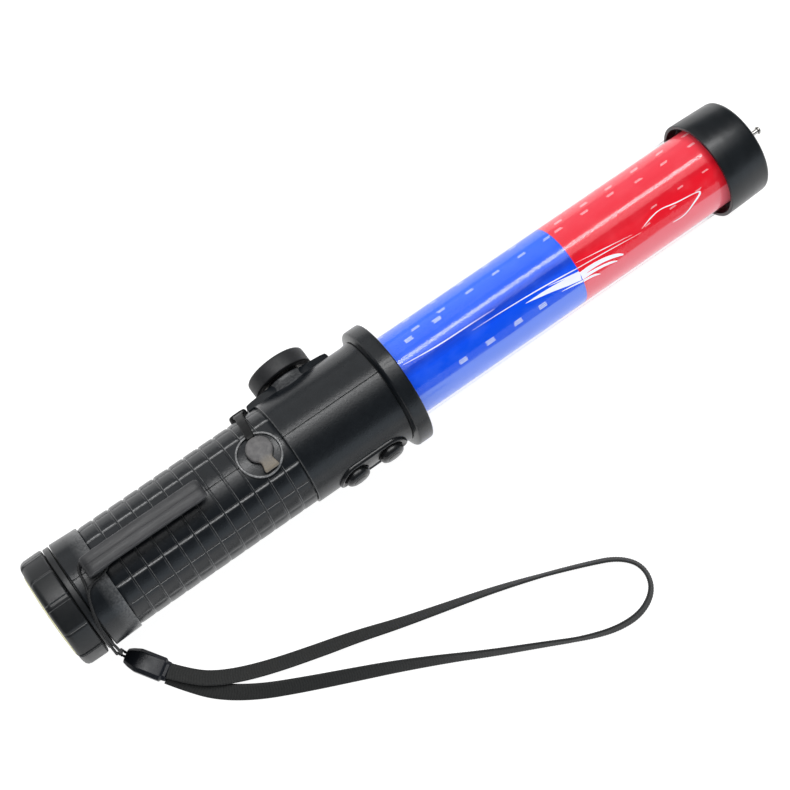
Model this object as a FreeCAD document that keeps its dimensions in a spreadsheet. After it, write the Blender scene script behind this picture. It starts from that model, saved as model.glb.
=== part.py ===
import FreeCAD, Part
import Sketcher
import math
import os
import re
from FreeCAD import Placement, Rotation, Vector

# Rechargeable traffic baton light, in millimetres.
# Every piece is drawn about the baton's own axis: x runs from the tail face to the tip,
# the moulding seam, belt clip and charging port are on top (+z), the magnet foot is on
# the +y side and the two push buttons on the -y side.  A shared Placement then stands
# the finished baton on its flange, with the origin under the middle of its box.

DIMS = {
    # overall stations along the axis, from the tail face
    "cap_end": 10.4, "collar_start": 10.9, "collar_end": 13.5, "shell_start": 14.0,
    "band_end": 26.3, "grid_end": 111.4, "flare_start": 154.6, "flange_back": 159.1,
    "flange_front": 164.7, "film_joint": 250.4, "tip_rim": 324.5, "tip_round": 343.4,
    "tip_end": 345.3, "stud_end": 358.6,
    # radii of the outside
    "cap_radius": 24.0, "collar_radius": 23.3, "band_radius_tail": 23.6,
    "band_radius_front": 23.1, "grip_radius": 22.4, "head_radius": 23.2,
    "flange_radius": 27.4, "tube_radius": 19.2, "tip_radius": 22.4,
    "tip_radius_end": 21.85, "tip_round_radius": 20.9, "tip_face_radius": 20.0,
    "flare_middle": 156.8, "flare_middle_radius": 23.8, "flare_end": 158.3,
    "flare_end_radius": 25.1,
    # edges
    "cap_edge": 1.4, "cap_edge_middle": 0.45, "cap_bevel": 0.8, "band_bevel": 0.3,
    "flange_bevel": 0.5, "tip_bevel": 0.3,
    # shell
    "shell_bore": 20.6, "ring_pitch": 7.1, "ring_half": 0.45, "ring_floor": 21.9,
    "ledge_start": 151.0, "ledge_end": 154.0, "ledge_bore": 18.0, "tube_seat": 19.25,
    # tail cap and torch
    "lip_radius": 18.8, "lip_depth": 1.2, "cap_bore": 20.15, "ring_pocket": 21.3,
    "ring_pocket_start": 9.4, "step_depth": 0.7, "step_width": 2.6, "step_phase": 9.0,
    "lens_radius": 20.0, "lens_back": 2.7, "lens_boss": 18.6, "lens_proud": 0.4,
    "lens_fit": 0.05, "lens_lap": 0.6, "lamp_fit": 0.15,
    "reflector_start": 2.8, "reflector_end": 4.1, "reflector_bore": 17.6,
    "emitter_radius": 17.2, "board_start": 4.6, "board_end": 6.1, "torch_board_radius": 19.8,
    "carrier_end": 8.4, "carrier_radius": 18.3, "carrier_neck": 13.0, "neck_radius": 7.6,
    "spring_radius": 5.4, "spring_wire": 0.55, "spring_length": 14.7, "spring_pitch": 3.0,
    "spigot_start": 6.9, "spigot_radius": 20.0, "spigot_bore": 18.7,
    "sleeve_radius": 20.5, "sleeve_end": 20.6,
    "seal_radius": 20.55, "seal_wire": 0.5, "seal_centre": 10.3,
    # battery and its tray
    "cell_radius": 9.2, "cell_start": 29.2, "cell_length": 65.0,
    "cell_button_radius": 3.0, "cell_button_rise": 1.2,
    "tray_start": 29.0, "tray_end": 97.0, "tray_outer": 11.6, "tray_bore": 9.6,
    "tray_wall": 1.4, "tray_lap": 1.0, "rib_radius": 20.5, "rib_width": 2.0, "rib_tail": 42.0,
    "rib_tip": 82.0,
    "contact_radius": 6.0, "contact_thickness": 0.8,
    # belt clip
    "clip_start": 20.2, "clip_end": 74.2, "clip_width": 8.4, "clip_under": 28.2,
    "clip_top": 31.2, "clip_heel": 26.6, "clip_heel_end": 26.8, "clip_bend": 30.2,
    "clip_root": 6.0, "clip_root_bevel": 1.0, "clip_lip": 0.4, "clip_catch": 4.0,
    "foot_start": 21.0, "foot_end": 26.4, "foot_width": 6.6, "foot_bottom": 18.6,
    "foot_top": 26.3,
    # charging port, its plug and strap
    "port_x": 100.0, "port_radius": 9.5, "port_top": 23.3, "port_floor": 22.5,
    "port_recess": 8.6, "port_bottom": 18.6, "port_fit": 0.05,
    "plug_x": 101.0, "plug_y": 1.2, "plug_radius": 5.5, "plug_under": 22.9,
    "plug_thickness": 1.7, "nose_radius": 2.9, "nose_length": 1.9, "nose_bore": 3.5,
    "tab_width": 6.4, "tab_reach": 9.4, "tab_thickness": 1.1,
    "tab_inset": 0.5, "strap_width": 5.2, "strap_inner": 23.45, "strap_outer": 24.5,
    "strap_from": 20.0, "strap_sweep": 58.0, "anchor_outer": 25.3, "anchor_sweep": 14.0,
    "anchor_width": 8.0, "anchor_lap": 2.0,
    "jack_radius": 4.2, "jack_bottom": 13.0, "jack_bore": 2.6, "jack_depth": 4.6,
    "jack_board_thickness": 1.6, "jack_board_length": 17.0, "jack_board_width": 14.0,
    # push buttons, switches and the control board
    "button_rear": 129.3, "button_front": 146.0, "bezel_length": 32.8, "bezel_width": 16.6,
    "bezel_hole_length": 32.9, "bezel_hole_width": 16.7, "bezel_crown": 24.4,
    "bezel_seat": 21.2, "button_radius": 5.5, "button_crown": 26.9, "button_foot": 19.7,
    "button_lip_radius": 6.2, "button_lip": 1.2, "button_hole": 5.8,
    "well_radius": 6.6, "well_floor": 18.5, "dome_rise": 1.5,
    "pcb_start": 113.0, "pcb_end": 150.6, "pcb_inner": 13.4, "pcb_thickness": 1.6,
    "pcb_width": 19.0, "switch_size": 6.0, "switch_body": 2.4, "switch_stem": 18.6,
    "stem_radius": 1.7,
    # magnet foot
    "magnet_x": 128.6, "saddle_length": 39.6, "saddle_width": 24.0, "saddle_top": 25.2,
    "saddle_seat": 23.25, "neck_size": 8.0, "cup_bottom": 26.7, "cup_radius": 12.4,
    "cup_wall": 1.0, "cup_base": 1.2, "cup_top": 32.2, "ring_magnet_radius": 11.3,
    "ring_magnet_bore": 3.6, "ring_magnet_top": 31.9, "cover_radius": 13.4,
    "cover_bottom": 26.5, "cover_top": 33.4, "cover_inner": 12.45, "cover_face": 1.1,
    "cover_rim": 1.4, "screw_radius": 1.9, "screw_hole": 2.0, "screw_head": 3.2, "screw_head_under": 18.3,
    "screw_head_top": 20.3, "screw_end": 29.4,
    # light tube and what it holds
    "tube_start": 154.0, "tube_end": 333.6, "tube_bore": 18.2, "film_radius": 18.15,
    "film_bore": 17.95, "film_start": 156.0, "film_end": 331.0,
    "strip_start": 147.0, "strip_end": 329.0, "strip_width": 12.0, "strip_thickness": 1.6,
    "holder_radius": 17.95, "holder_slot_width": 12.3, "holder_slot": 1.9,
    "tip_holder_start": 326.4, "tip_holder_end": 328.4, "tip_holder_radius": 17.9,
    "led_size": 5.0, "led_height": 1.4, "led_pitch": 11.6, "led_first_blue": 172.0,
    "led_first_red": 260.0,
    # tip cap and stud
    "tip_lip_bore": 20.9, "tip_socket_start": 330.0, "tip_socket": 19.25,
    "tip_socket_end": 334.0, "tip_hollow": 17.0, "tip_wall_start": 342.3,
    "stud_hole": 1.15, "stud_radius": 1.1, "stud_start": 338.0, "stud_head_start": 357.2,
    "stud_head_radius": 1.8, "nut_radius": 3.0, "nut_start": 339.8,
    # lanyard
    "string_diameter": 1.2, "ribbon_diameter": 2.8, "bead_length": 18.8, "bead_width": 9.8,
    "bead_height": 5.8, "bead_x": 19.2, "bead_y": -32.0, "bead_angle": -57.0,
    "bead_edge": 1.3, "lead_diameter": 1.3,
    # cutting tools run past what they cut by this much, or are this large
    "overlap": 0.2, "overrun": 1.0, "tool_reach": 12.0, "tool_span": 30.0, "tool_start": 12.0,
}

RING_COUNT = 11
LED_COUNT_BLUE = 7
LED_COUNT_RED = 6
CAP_STEPS = 6
ARC_SHARE = 0.45      # share of the shorter run that a corner's arc takes up
WORD = re.compile(r"[a-z][a-z_]*")

doc = FreeCAD.newDocument("traffic_baton_light")
sheet = doc.addObject("Spreadsheet::Sheet", "Dims")
for row, (alias, value) in enumerate(DIMS.items(), start=1):
    sheet.set("A%d" % row, alias)
    sheet.set("B%d" % row, str(value))
    sheet.setAlias("B%d" % row, alias)
doc.recompute()

subparts = []


# ---- helpers ------------------------------------------------------------------------

def linked(text):
    """An expression in plain words, such as 'cap_end - wall', as the sheet reads it."""
    return WORD.sub(lambda word: "Dims." + word.group(0), str(text))


def size_of(text):
    """The number that a sum of words and plain numbers has now."""
    total = 0.0
    for term in str(text).replace("- ", "+ -").split("+"):
        term = term.strip()
        sign = -1.0 if term.startswith("-") else 1.0
        factors = term.lstrip("-").split("*")
        product = sign
        for factor in factors:
            factor = factor.strip()
            product *= DIMS[factor] if factor in DIMS else float(factor)
        total += product
    return total


def bind(thing, **properties):
    """Tie properties to the sheet; a double underscore stands for a dot."""
    for name, text in properties.items():
        thing.setExpression(name.replace("__", "."), linked(text))


def place(thing, x="0", y="0", z="0"):
    bind(thing, Placement__Base__x=x, Placement__Base__y=y, Placement__Base__z=z)


def cylinder(name, radius, length, x="0", y="0", z="0", along="x"):
    """A cylinder that starts at x, y, z and runs along x, y, z or against y (-y)."""
    piece = doc.addObject("Part::Cylinder", name)
    turns = {"x": Rotation(Vector(0, 1, 0), 90), "y": Rotation(Vector(1, 0, 0), -90),
             "-y": Rotation(Vector(1, 0, 0), 90), "z": Rotation()}
    piece.Placement = Placement(Vector(), turns[along])
    bind(piece, Radius=radius, Height=length)
    place(piece, x, y, z)
    return piece


def box(name, x, y, z, length, width, height):
    """A box from its lowest corner."""
    piece = doc.addObject("Part::Box", name)
    bind(piece, Length=length, Width=width, Height=height)
    place(piece, x, y, z)
    return piece


def fuse(name, pieces):
    joined = doc.addObject("Part::MultiFuse", name)
    joined.Shapes = pieces
    return joined


def cut(name, base, tool):
    result = doc.addObject("Part::Cut", name)
    result.Base = base
    result.Tool = tool
    return result


def common(name, pieces):
    result = doc.addObject("Part::MultiCommon", name)
    result.Shapes = pieces
    return result


def compound(name, pieces):
    group = doc.addObject("Part::Compound", name)
    group.Links = pieces
    return group


def drawn(body, name, plane, corners):
    """A closed outline of straight edges on a body's own plane, each corner tied to the sheet."""
    sketch = body.newObject("Sketcher::SketchObject", name)
    origin = [f for f in body.Origin.OriginFeatures if f.Role == plane][0]
    sketch.AttachmentSupport = [(origin, "")]
    sketch.MapMode = "FlatFace"
    points = [Vector(size_of(a), size_of(b), 0) for a, b in corners]
    count = len(points)
    for index in range(count):
        sketch.addGeometry(Part.LineSegment(points[index], points[(index + 1) % count]), False)
    for index in range(count):
        sketch.addConstraint(Sketcher.Constraint("Coincident", index, 2, (index + 1) % count, 1))
    for index, (across, upward) in enumerate(corners):
        number = sketch.addConstraint(
            Sketcher.Constraint("DistanceX", -1, 1, index, 1, points[index].x))
        sketch.setExpression("Constraints[%d]" % number, linked(across))
        if abs(points[index].y) < 1e-9:
            sketch.addConstraint(Sketcher.Constraint("PointOnObject", index, 1, -1))
            continue
        number = sketch.addConstraint(
            Sketcher.Constraint("DistanceY", -1, 1, index, 1, points[index].y))
        sketch.setExpression("Constraints[%d]" % number, linked(upward))
    return sketch


def turned(name, corners):
    """A body turned about the baton's axis from its (station, radius) outline."""
    body = doc.addObject("PartDesign::Body", name)
    sketch = drawn(body, name + "_outline", "XZ_Plane", corners)
    feature = body.newObject("PartDesign::Revolution", name + "_turn")
    feature.Profile = sketch
    feature.ReferenceAxis = (sketch, ["H_Axis"])
    feature.Angle = 360.0
    sketch.Visibility = False
    doc.recompute()
    return body


def subpart(name, thing):
    """Name a finished piece and stand it in the shared frame."""
    thing.Label = name
    thing.setExpression("Placement.Base.x", "(Dims.lens_proud - Dims.stud_end) / 2")
    thing.setExpression("Placement.Base.y", "(Dims.flange_radius - Dims.cover_top) / 2")
    thing.setExpression("Placement.Base.z", "Dims.flange_radius")
    subparts.append(thing)
    return thing


def rounded_path(points):
    """Straight runs joined by tangent arcs, each as large as its two runs allow."""
    edges = []
    radii = []
    start = points[0]
    for index in range(1, len(points) - 1):
        corner = points[index]
        before = corner - points[index - 1]
        after = points[index + 1] - corner
        half_turn = before.getAngle(after) / 2
        reach = ARC_SHARE * min(before.Length, after.Length)
        radius = reach / math.tan(half_turn)
        radii.append(radius)
        direction_in = Vector(before).normalize()
        direction_out = Vector(after).normalize()
        arc_start = corner - direction_in * reach
        arc_end = corner + direction_out * reach
        inward = (direction_out - direction_in).normalize()
        middle = corner + inward * (radius / math.cos(half_turn) - radius)
        edges.append(Part.LineSegment(start, arc_start).toShape())
        edges.append(Part.Arc(arc_start, middle, arc_end).toShape())
        start = arc_end
    edges.append(Part.LineSegment(start, points[-1]).toShape())
    return Part.Wire(edges), radii


def cord_tube(name, points, diameter):
    """A plain round tube along a cord's route."""
    path, radii = rounded_path(points)
    heading = points[1] - points[0]
    ring = Part.Wire([Part.makeCircle(diameter / 2, points[0], heading)])
    shape = path.makePipeShell([ring], True, False)
    expected = math.pi * diameter ** 2 / 4 * path.Length
    print("%-20s length %6.1f  radii %s  volume %.4f of section times length"
          % (name, path.Length, " ".join("%.1f" % r for r in radii), shape.Volume / expected))
    piece = doc.addObject("Part::Feature", name)
    piece.Shape = shape
    return piece


# ---- tail cap and torch ---------------------------------------------------------------

def make_tail_cap():
    ring = turned("tail_cap_ring", [
        ("0.0", "lip_radius"), ("0.0", "cap_radius - cap_edge"),
        ("cap_edge_middle", "cap_radius - cap_edge_middle"), ("cap_edge", "cap_radius"),
        ("cap_end - cap_bevel", "cap_radius"), ("cap_end", "cap_radius - cap_bevel"),
        ("cap_end", "ring_pocket"), ("ring_pocket_start", "ring_pocket"),
        ("ring_pocket_start", "cap_bore"), ("lip_depth", "cap_bore"),
        ("lip_depth", "lip_radius")])
    steps = []
    floor = DIMS["cap_radius"] - DIMS["step_depth"]
    for index in range(CAP_STEPS):
        step = doc.addObject("Part::Box", "cap_step_%d" % index)
        bind(step, Length="cap_end + 2 * overrun", Width="step_width", Height="step_depth * 4")
        turn = Rotation(Vector(1, 0, 0), index * 360.0 / CAP_STEPS + DIMS["step_phase"])
        corner = Vector(-DIMS["overrun"], -DIMS["step_width"] / 2, floor)
        step.Placement = Placement(turn.multVec(corner), turn)
        steps.append(step)
    subpart("tail_cap", cut("tail_cap", ring, fuse("cap_steps", steps)))


def make_torch():
    disc = cylinder("lens_disc", "lens_radius", "lens_back - lip_depth - lens_fit",
                    x="lip_depth + lens_fit")
    boss = cylinder("lens_boss_disc", "lens_boss", "lip_depth + lens_proud + lens_lap",
                    x="-1 * lens_proud")
    subpart("torch_lens", fuse("torch_lens", [disc, boss]))
    subpart("torch_reflector", turned("torch_reflector", [
        ("reflector_start", "reflector_bore"), ("reflector_start", "lens_radius - lamp_fit"),
        ("board_start - lamp_fit", "lens_radius - lamp_fit"),
        ("board_start - lamp_fit", "emitter_radius + lamp_fit")]))
    emitter = cylinder("emitter_disc", "emitter_radius", "board_start - reflector_end",
                       x="reflector_end")
    subpart("torch_emitter", compound("torch_emitter", [emitter]))
    board = cylinder("torch_board_disc", "torch_board_radius", "board_end - board_start",
                     x="board_start")
    subpart("torch_led_board", compound("torch_led_board", [board]))
    subpart("lamp_carrier", turned("lamp_carrier", [
        ("board_end", "spring_radius - 2"), ("board_end", "carrier_radius"),
        ("carrier_end", "carrier_radius"), ("carrier_end", "neck_radius"),
        ("carrier_neck", "neck_radius"), ("carrier_neck", "spring_radius - 2")]))


def make_tail_spring():
    coil = doc.addObject("Part::Helix", "spring_line")
    bind(coil, Radius="spring_radius", Pitch="spring_pitch", Height="spring_length")
    wire = doc.addObject("Part::Circle", "spring_section")
    bind(wire, Radius="spring_wire")
    wire.Placement = Placement(Vector(DIMS["spring_radius"], 0, 0), Rotation(Vector(1, 0, 0), 90))
    sweep = doc.addObject("Part::Sweep", "spring_coil")
    sweep.Sections = [wire]
    sweep.Spine = (coil, ["Edge1"])
    sweep.Solid = True
    sweep.Frenet = True
    sweep.Placement = Placement(Vector(), Rotation(Vector(0, 1, 0), 90))
    bind(sweep, Placement__Base__x="carrier_neck + spring_wire")
    subpart("tail_spring", compound("tail_spring", [sweep]))


def make_tail_collar():
    subpart("tail_collar", turned("tail_collar", [
        ("spigot_start", "spigot_bore"), ("spigot_start", "spigot_radius"),
        ("collar_start", "spigot_radius"), ("collar_start", "collar_radius"),
        ("collar_end", "collar_radius"), ("collar_end", "sleeve_radius"),
        ("sleeve_end", "sleeve_radius"), ("sleeve_end", "spigot_bore")]))
    seal = doc.addObject("Part::Torus", "seal_ring")
    bind(seal, Radius1="seal_radius", Radius2="seal_wire")
    seal.Placement = Placement(Vector(), Rotation(Vector(0, 1, 0), 90))
    bind(seal, Placement__Base__x="seal_centre")
    subpart("tail_o_ring", compound("tail_o_ring", [seal]))


# ---- handle shells ----------------------------------------------------------------------

def shell_outline():
    outline = [("shell_start", "shell_bore"), ("shell_start", "band_radius_tail - band_bevel"),
               ("shell_start + band_bevel", "band_radius_tail"), ("band_end", "band_radius_front"),
               ("band_end", "grip_radius")]
    for number in range(1, RING_COUNT + 1):
        middle = "band_end + %d * ring_pitch" % number
        outline += [(middle + " - ring_half", "grip_radius"),
                    (middle + " - ring_half", "ring_floor"),
                    (middle + " + ring_half", "ring_floor"),
                    (middle + " + ring_half", "grip_radius")]
    outline += [("grid_end", "grip_radius"), ("grid_end", "head_radius"),
                ("flare_start", "head_radius"), ("flare_middle", "flare_middle_radius"),
                ("flare_end", "flare_end_radius"),
                ("flange_back - flange_bevel * 0.5", "flange_radius - flange_bevel"),
                ("flange_back + flange_bevel", "flange_radius"),
                ("flange_front - flange_bevel", "flange_radius"),
                ("flange_front", "flange_radius - flange_bevel"), ("flange_front", "tube_seat"),
                ("ledge_end", "tube_seat"), ("ledge_end", "ledge_bore"),
                ("ledge_start", "ledge_bore"), ("ledge_start", "shell_bore")]
    return outline


def oblong(name, length, width, rise, x, y, along="-y"):
    """A round-ended bar lying along x, standing up from y by its rise."""
    radius = width + " * 0.5"
    rear = cylinder(name + "_rear", radius, rise, x=x + " - " + length + " * 0.5 + " + radius,
                    y=y, along=along)
    front = cylinder(name + "_front", radius, rise, x=x + " + " + length + " * 0.5 - " + radius,
                     y=y, along=along)
    base = y if along == "y" else y + " - " + rise
    bar = box(name + "_bar", x + " - " + length + " * 0.5 + " + radius, base,
              "-0.5 * " + width, length + " - " + width, rise, width)
    return fuse(name, [rear, front, bar])


def make_shells():
    form = turned("shell_form", shell_outline())
    middle = "button_rear * 0.5 + button_front * 0.5"
    port_hole = cylinder("port_hole", "port_radius + port_fit", "tool_span", x="port_x",
                         z="tool_start", along="z")
    screw_way = cylinder("screw_way", "screw_hole", "tool_span", x="magnet_x", y="tool_start",
                         along="y")
    bezel_hole = oblong("bezel_hole", "bezel_hole_length", "bezel_hole_width", "tool_reach",
                        middle, "-1 * bezel_seat")
    wells = []
    for place_name in ("button_rear", "button_front"):
        wells.append(cylinder("well_" + place_name, "well_radius", "tool_reach", x=place_name,
                              y="-1 * well_floor", along="-y"))
    foot_hole = box("foot_hole", "foot_start", "-0.5 * foot_width", "tool_start",
                    "foot_end - foot_start", "foot_width", "tool_span")
    openings = fuse("shell_openings", [port_hole, screw_way, bezel_hole, foot_hole] + wells)
    hollowed = cut("shell_cut", form, openings)
    magnet_half = box("magnet_half_space", "0", "0", "-1 * tool_span", "tube_end",
                      "tool_span", "tool_span * 2")
    button_half = box("button_half_space", "0", "-1 * tool_span", "-1 * tool_span",
                      "tube_end", "tool_span", "tool_span * 2")
    subpart("handle_shell_magnet_side",
            common("handle_shell_magnet_side", [hollowed, magnet_half]))
    subpart("handle_shell_button_side",
            common("handle_shell_button_side", [hollowed, button_half]))


# ---- belt clip -----------------------------------------------------------------------------

def make_clip():
    body = doc.addObject("PartDesign::Body", "belt_clip")
    sketch = drawn(body, "clip_outline", "XZ_Plane", [
        ("clip_start", "clip_heel"), ("clip_start", "clip_top - clip_root * 0.5"),
        ("clip_start + clip_root_bevel", "clip_top - clip_root_bevel"),
        ("clip_start + clip_root * 0.5", "clip_top - clip_lip"),
        ("clip_start + clip_root", "clip_top"), ("clip_end - clip_root * 0.5", "clip_top"),
        ("clip_end - clip_root_bevel", "clip_top - clip_lip"),
        ("clip_end", "clip_top - clip_root * 0.25"), ("clip_end - clip_lip", "clip_under"),
        ("clip_end - clip_catch", "clip_under - clip_lip"),
        ("clip_end - 2 * clip_catch", "clip_under"), ("clip_bend", "clip_under"),
        ("clip_heel_end + clip_root_bevel", "clip_heel + clip_lip"),
        ("clip_heel_end", "clip_heel")])
    pad = body.newObject("PartDesign::Pad", "clip_pad")
    pad.Profile = sketch
    pad.SideType = "Symmetric"
    bind(pad, Length="clip_width")
    doc.recompute()
    subpart("belt_clip", body)
    foot = box("foot_block", "foot_start", "-0.5 * foot_width", "foot_bottom",
               "foot_end - foot_start", "foot_width", "foot_top - foot_bottom")
    subpart("clip_foot", compound("clip_foot", [foot]))


# ---- battery ----------------------------------------------------------------------------------

def half_ring(name, outer, inner, start, length):
    """The lower half of a ring about the axis."""
    solid = cylinder(name + "_outer", outer, length, x=start)
    hole = cylinder(name + "_inner", inner, length, x=start)
    ring = cut(name + "_ring", solid, hole)
    lower = box(name + "_half", start, "-1 * " + outer, "-1 * " + outer, length,
                outer + " * 2", outer)
    return common(name, [ring, lower])


def make_battery():
    cell = cylinder("cell_can", "cell_radius", "cell_length - cell_button_rise", x="cell_start")
    button = cylinder("cell_button", "cell_button_radius", "cell_button_rise + overlap",
                      x="cell_start + cell_length - cell_button_rise - overlap")
    subpart("battery_cell", fuse("battery_cell", [cell, button]))
    channel = half_ring("tray_channel", "tray_outer", "tray_bore", "tray_start",
                        "tray_end - tray_start")
    rib_tail = half_ring("tray_rib_tail", "rib_radius", "tray_bore + tray_lap", "rib_tail",
                         "rib_width")
    rib_tip = half_ring("tray_rib_tip", "rib_radius", "tray_bore + tray_lap", "rib_tip", "rib_width")
    wall = cylinder("tray_wall_disc", "tray_bore + tray_lap", "tray_wall", x="tray_end - tray_wall")
    subpart("battery_tray", fuse("battery_tray", [channel, rib_tail, rib_tip, wall]))
    plate = cylinder("contact_disc", "contact_radius", "contact_thickness",
                     x="tray_end - tray_wall - contact_thickness")
    subpart("battery_contact", compound("battery_contact", [plate]))


# ---- charging port -------------------------------------------------------------------------------

def make_port():
    plug = cylinder("surround_stem", "port_radius", "tool_reach", x="port_x",
                    z="port_bottom", along="z")
    crown = cylinder("surround_crown", "port_top", "tool_span", x="port_x - tool_span * 0.5")
    blank = common("surround_blank", [plug, crown])
    recess_stem = cylinder("recess_stem", "port_recess", "tool_reach", x="port_x",
                           z="port_bottom", along="z")
    recess_floor = cylinder("recess_floor", "port_floor", "tool_span",
                            x="port_x - tool_span * 0.5")
    recess = cut("port_recess_tool", recess_stem, recess_floor)
    bore = cylinder("port_bore", "nose_bore", "tool_reach", x="plug_x", y="plug_y",
                    z="port_bottom - overrun", along="z")
    subpart("charge_port_surround",
            cut("charge_port_surround", blank, fuse("port_tools", [recess, bore])))

    head = cylinder("plug_head", "plug_radius", "plug_thickness", x="plug_x", y="plug_y",
                    z="plug_under", along="z")
    nose = cylinder("plug_nose", "nose_radius", "nose_length + overlap", x="plug_x", y="plug_y",
                    z="plug_under - nose_length", along="z")
    tab = box("plug_tab", "plug_x - tab_width * 0.5", "plug_y - tab_reach", "plug_under + tab_inset",
              "tab_width", "tab_reach", "tab_thickness")
    subpart("port_plug", fuse("port_plug", [head, nose, tab]))

    def arc_band(name, inner, outer, width, first, sweep):
        """Part of a ring about the axis, from an angle off +z towards +y."""
        solids = []
        for part, radius in (("outer", outer), ("inner", inner)):
            disc = cylinder(name + "_" + part, radius, width, x="plug_x - " + width + " * 0.5")
            disc.Placement.Rotation = (Rotation(Vector(1, 0, 0), -(first + sweep))
                                       * Rotation(Vector(0, 1, 0), 90)
                                       * Rotation(Vector(0, 0, 1), 180))
            disc.Angle = sweep
            solids.append(disc)
        return cut(name, solids[0], solids[1])

    band = arc_band("strap_band", "strap_inner", "strap_outer", "strap_width",
                    DIMS["strap_from"], DIMS["strap_sweep"])
    block = arc_band("strap_anchor", "saddle_seat", "anchor_outer", "anchor_width",
                     DIMS["strap_from"] + DIMS["strap_sweep"] - DIMS["anchor_lap"],
                     DIMS["anchor_sweep"])
    subpart("port_strap", fuse("port_strap", [band, block]))

    shell = cylinder("jack_case", "jack_radius", "port_bottom - jack_bottom", x="plug_x",
                     y="plug_y", z="jack_bottom", along="z")
    mouth = cylinder("jack_mouth", "jack_bore", "jack_depth + overrun", x="plug_x", y="plug_y",
                     z="port_bottom - jack_depth", along="z")
    subpart("dc_jack", cut("dc_jack", shell, mouth))
    board = box("jack_board_plate", "plug_x - jack_board_length * 0.5",
                "-0.5 * jack_board_width", "jack_bottom - jack_board_thickness",
                "jack_board_length", "jack_board_width", "jack_board_thickness")
    subpart("jack_board", compound("jack_board", [board]))


# ---- push buttons ----------------------------------------------------------------------------------

def make_buttons():
    middle = "button_rear * 0.5 + button_front * 0.5"
    blank = oblong("bezel_blank", "bezel_length", "bezel_width", "tool_reach", middle,
                   "-1 * bezel_seat")
    crown = cylinder("bezel_crown_form", "bezel_crown", "tool_span * 2",
                     x=middle + " - tool_span")
    holes = []
    for place_name in ("button_rear", "button_front"):
        holes.append(cylinder("bezel_way_" + place_name, "button_hole", "tool_reach",
                              x=place_name, y="-1 * well_floor", along="-y"))
    subpart("button_bezel", cut("button_bezel", common("bezel_form", [blank, crown]),
                                fuse("bezel_ways", holes)))
    for name, place_name in (("torch_button", "button_rear"), ("mode_button", "button_front")):
        stem = cylinder(name + "_stem", "button_radius", "button_crown - button_foot",
                        x=place_name, y="-1 * button_foot", along="-y")
        ball = doc.addObject("Part::Sphere", name + "_ball")
        rise = DIMS["dome_rise"]
        ball_radius = (DIMS["button_radius"] ** 2 + rise ** 2) / (2 * rise)
        ball.Radius = ball_radius
        place(ball, x=place_name, y="-1 * button_crown + %.4f" % ball_radius)
        lip = cylinder(name + "_lip", "button_lip_radius", "button_lip", x=place_name,
                       y="-1 * button_foot", along="-y")
        dome = common(name + "_dome", [stem, ball])
        subpart(name, fuse(name, [dome, lip]))

    board = box("control_plate", "pcb_start", "-1 * pcb_inner - pcb_thickness",
                "-0.5 * pcb_width", "pcb_end - pcb_start", "pcb_thickness", "pcb_width")
    subpart("control_board", compound("control_board", [board]))
    for name, place_name in (("torch_switch", "button_rear"), ("mode_switch", "button_front")):
        body = box(name + "_body", place_name + " - switch_size * 0.5",
                   "-1 * pcb_inner - pcb_thickness - switch_body", "-0.5 * switch_size",
                   "switch_size", "switch_body", "switch_size")
        stem = cylinder(name + "_stem", "stem_radius",
                        "switch_stem - pcb_inner - pcb_thickness", x=place_name,
                        y="-1 * pcb_inner - pcb_thickness", along="-y")
        subpart(name, fuse(name, [body, stem]))


# ---- magnet foot --------------------------------------------------------------------------------------

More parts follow.
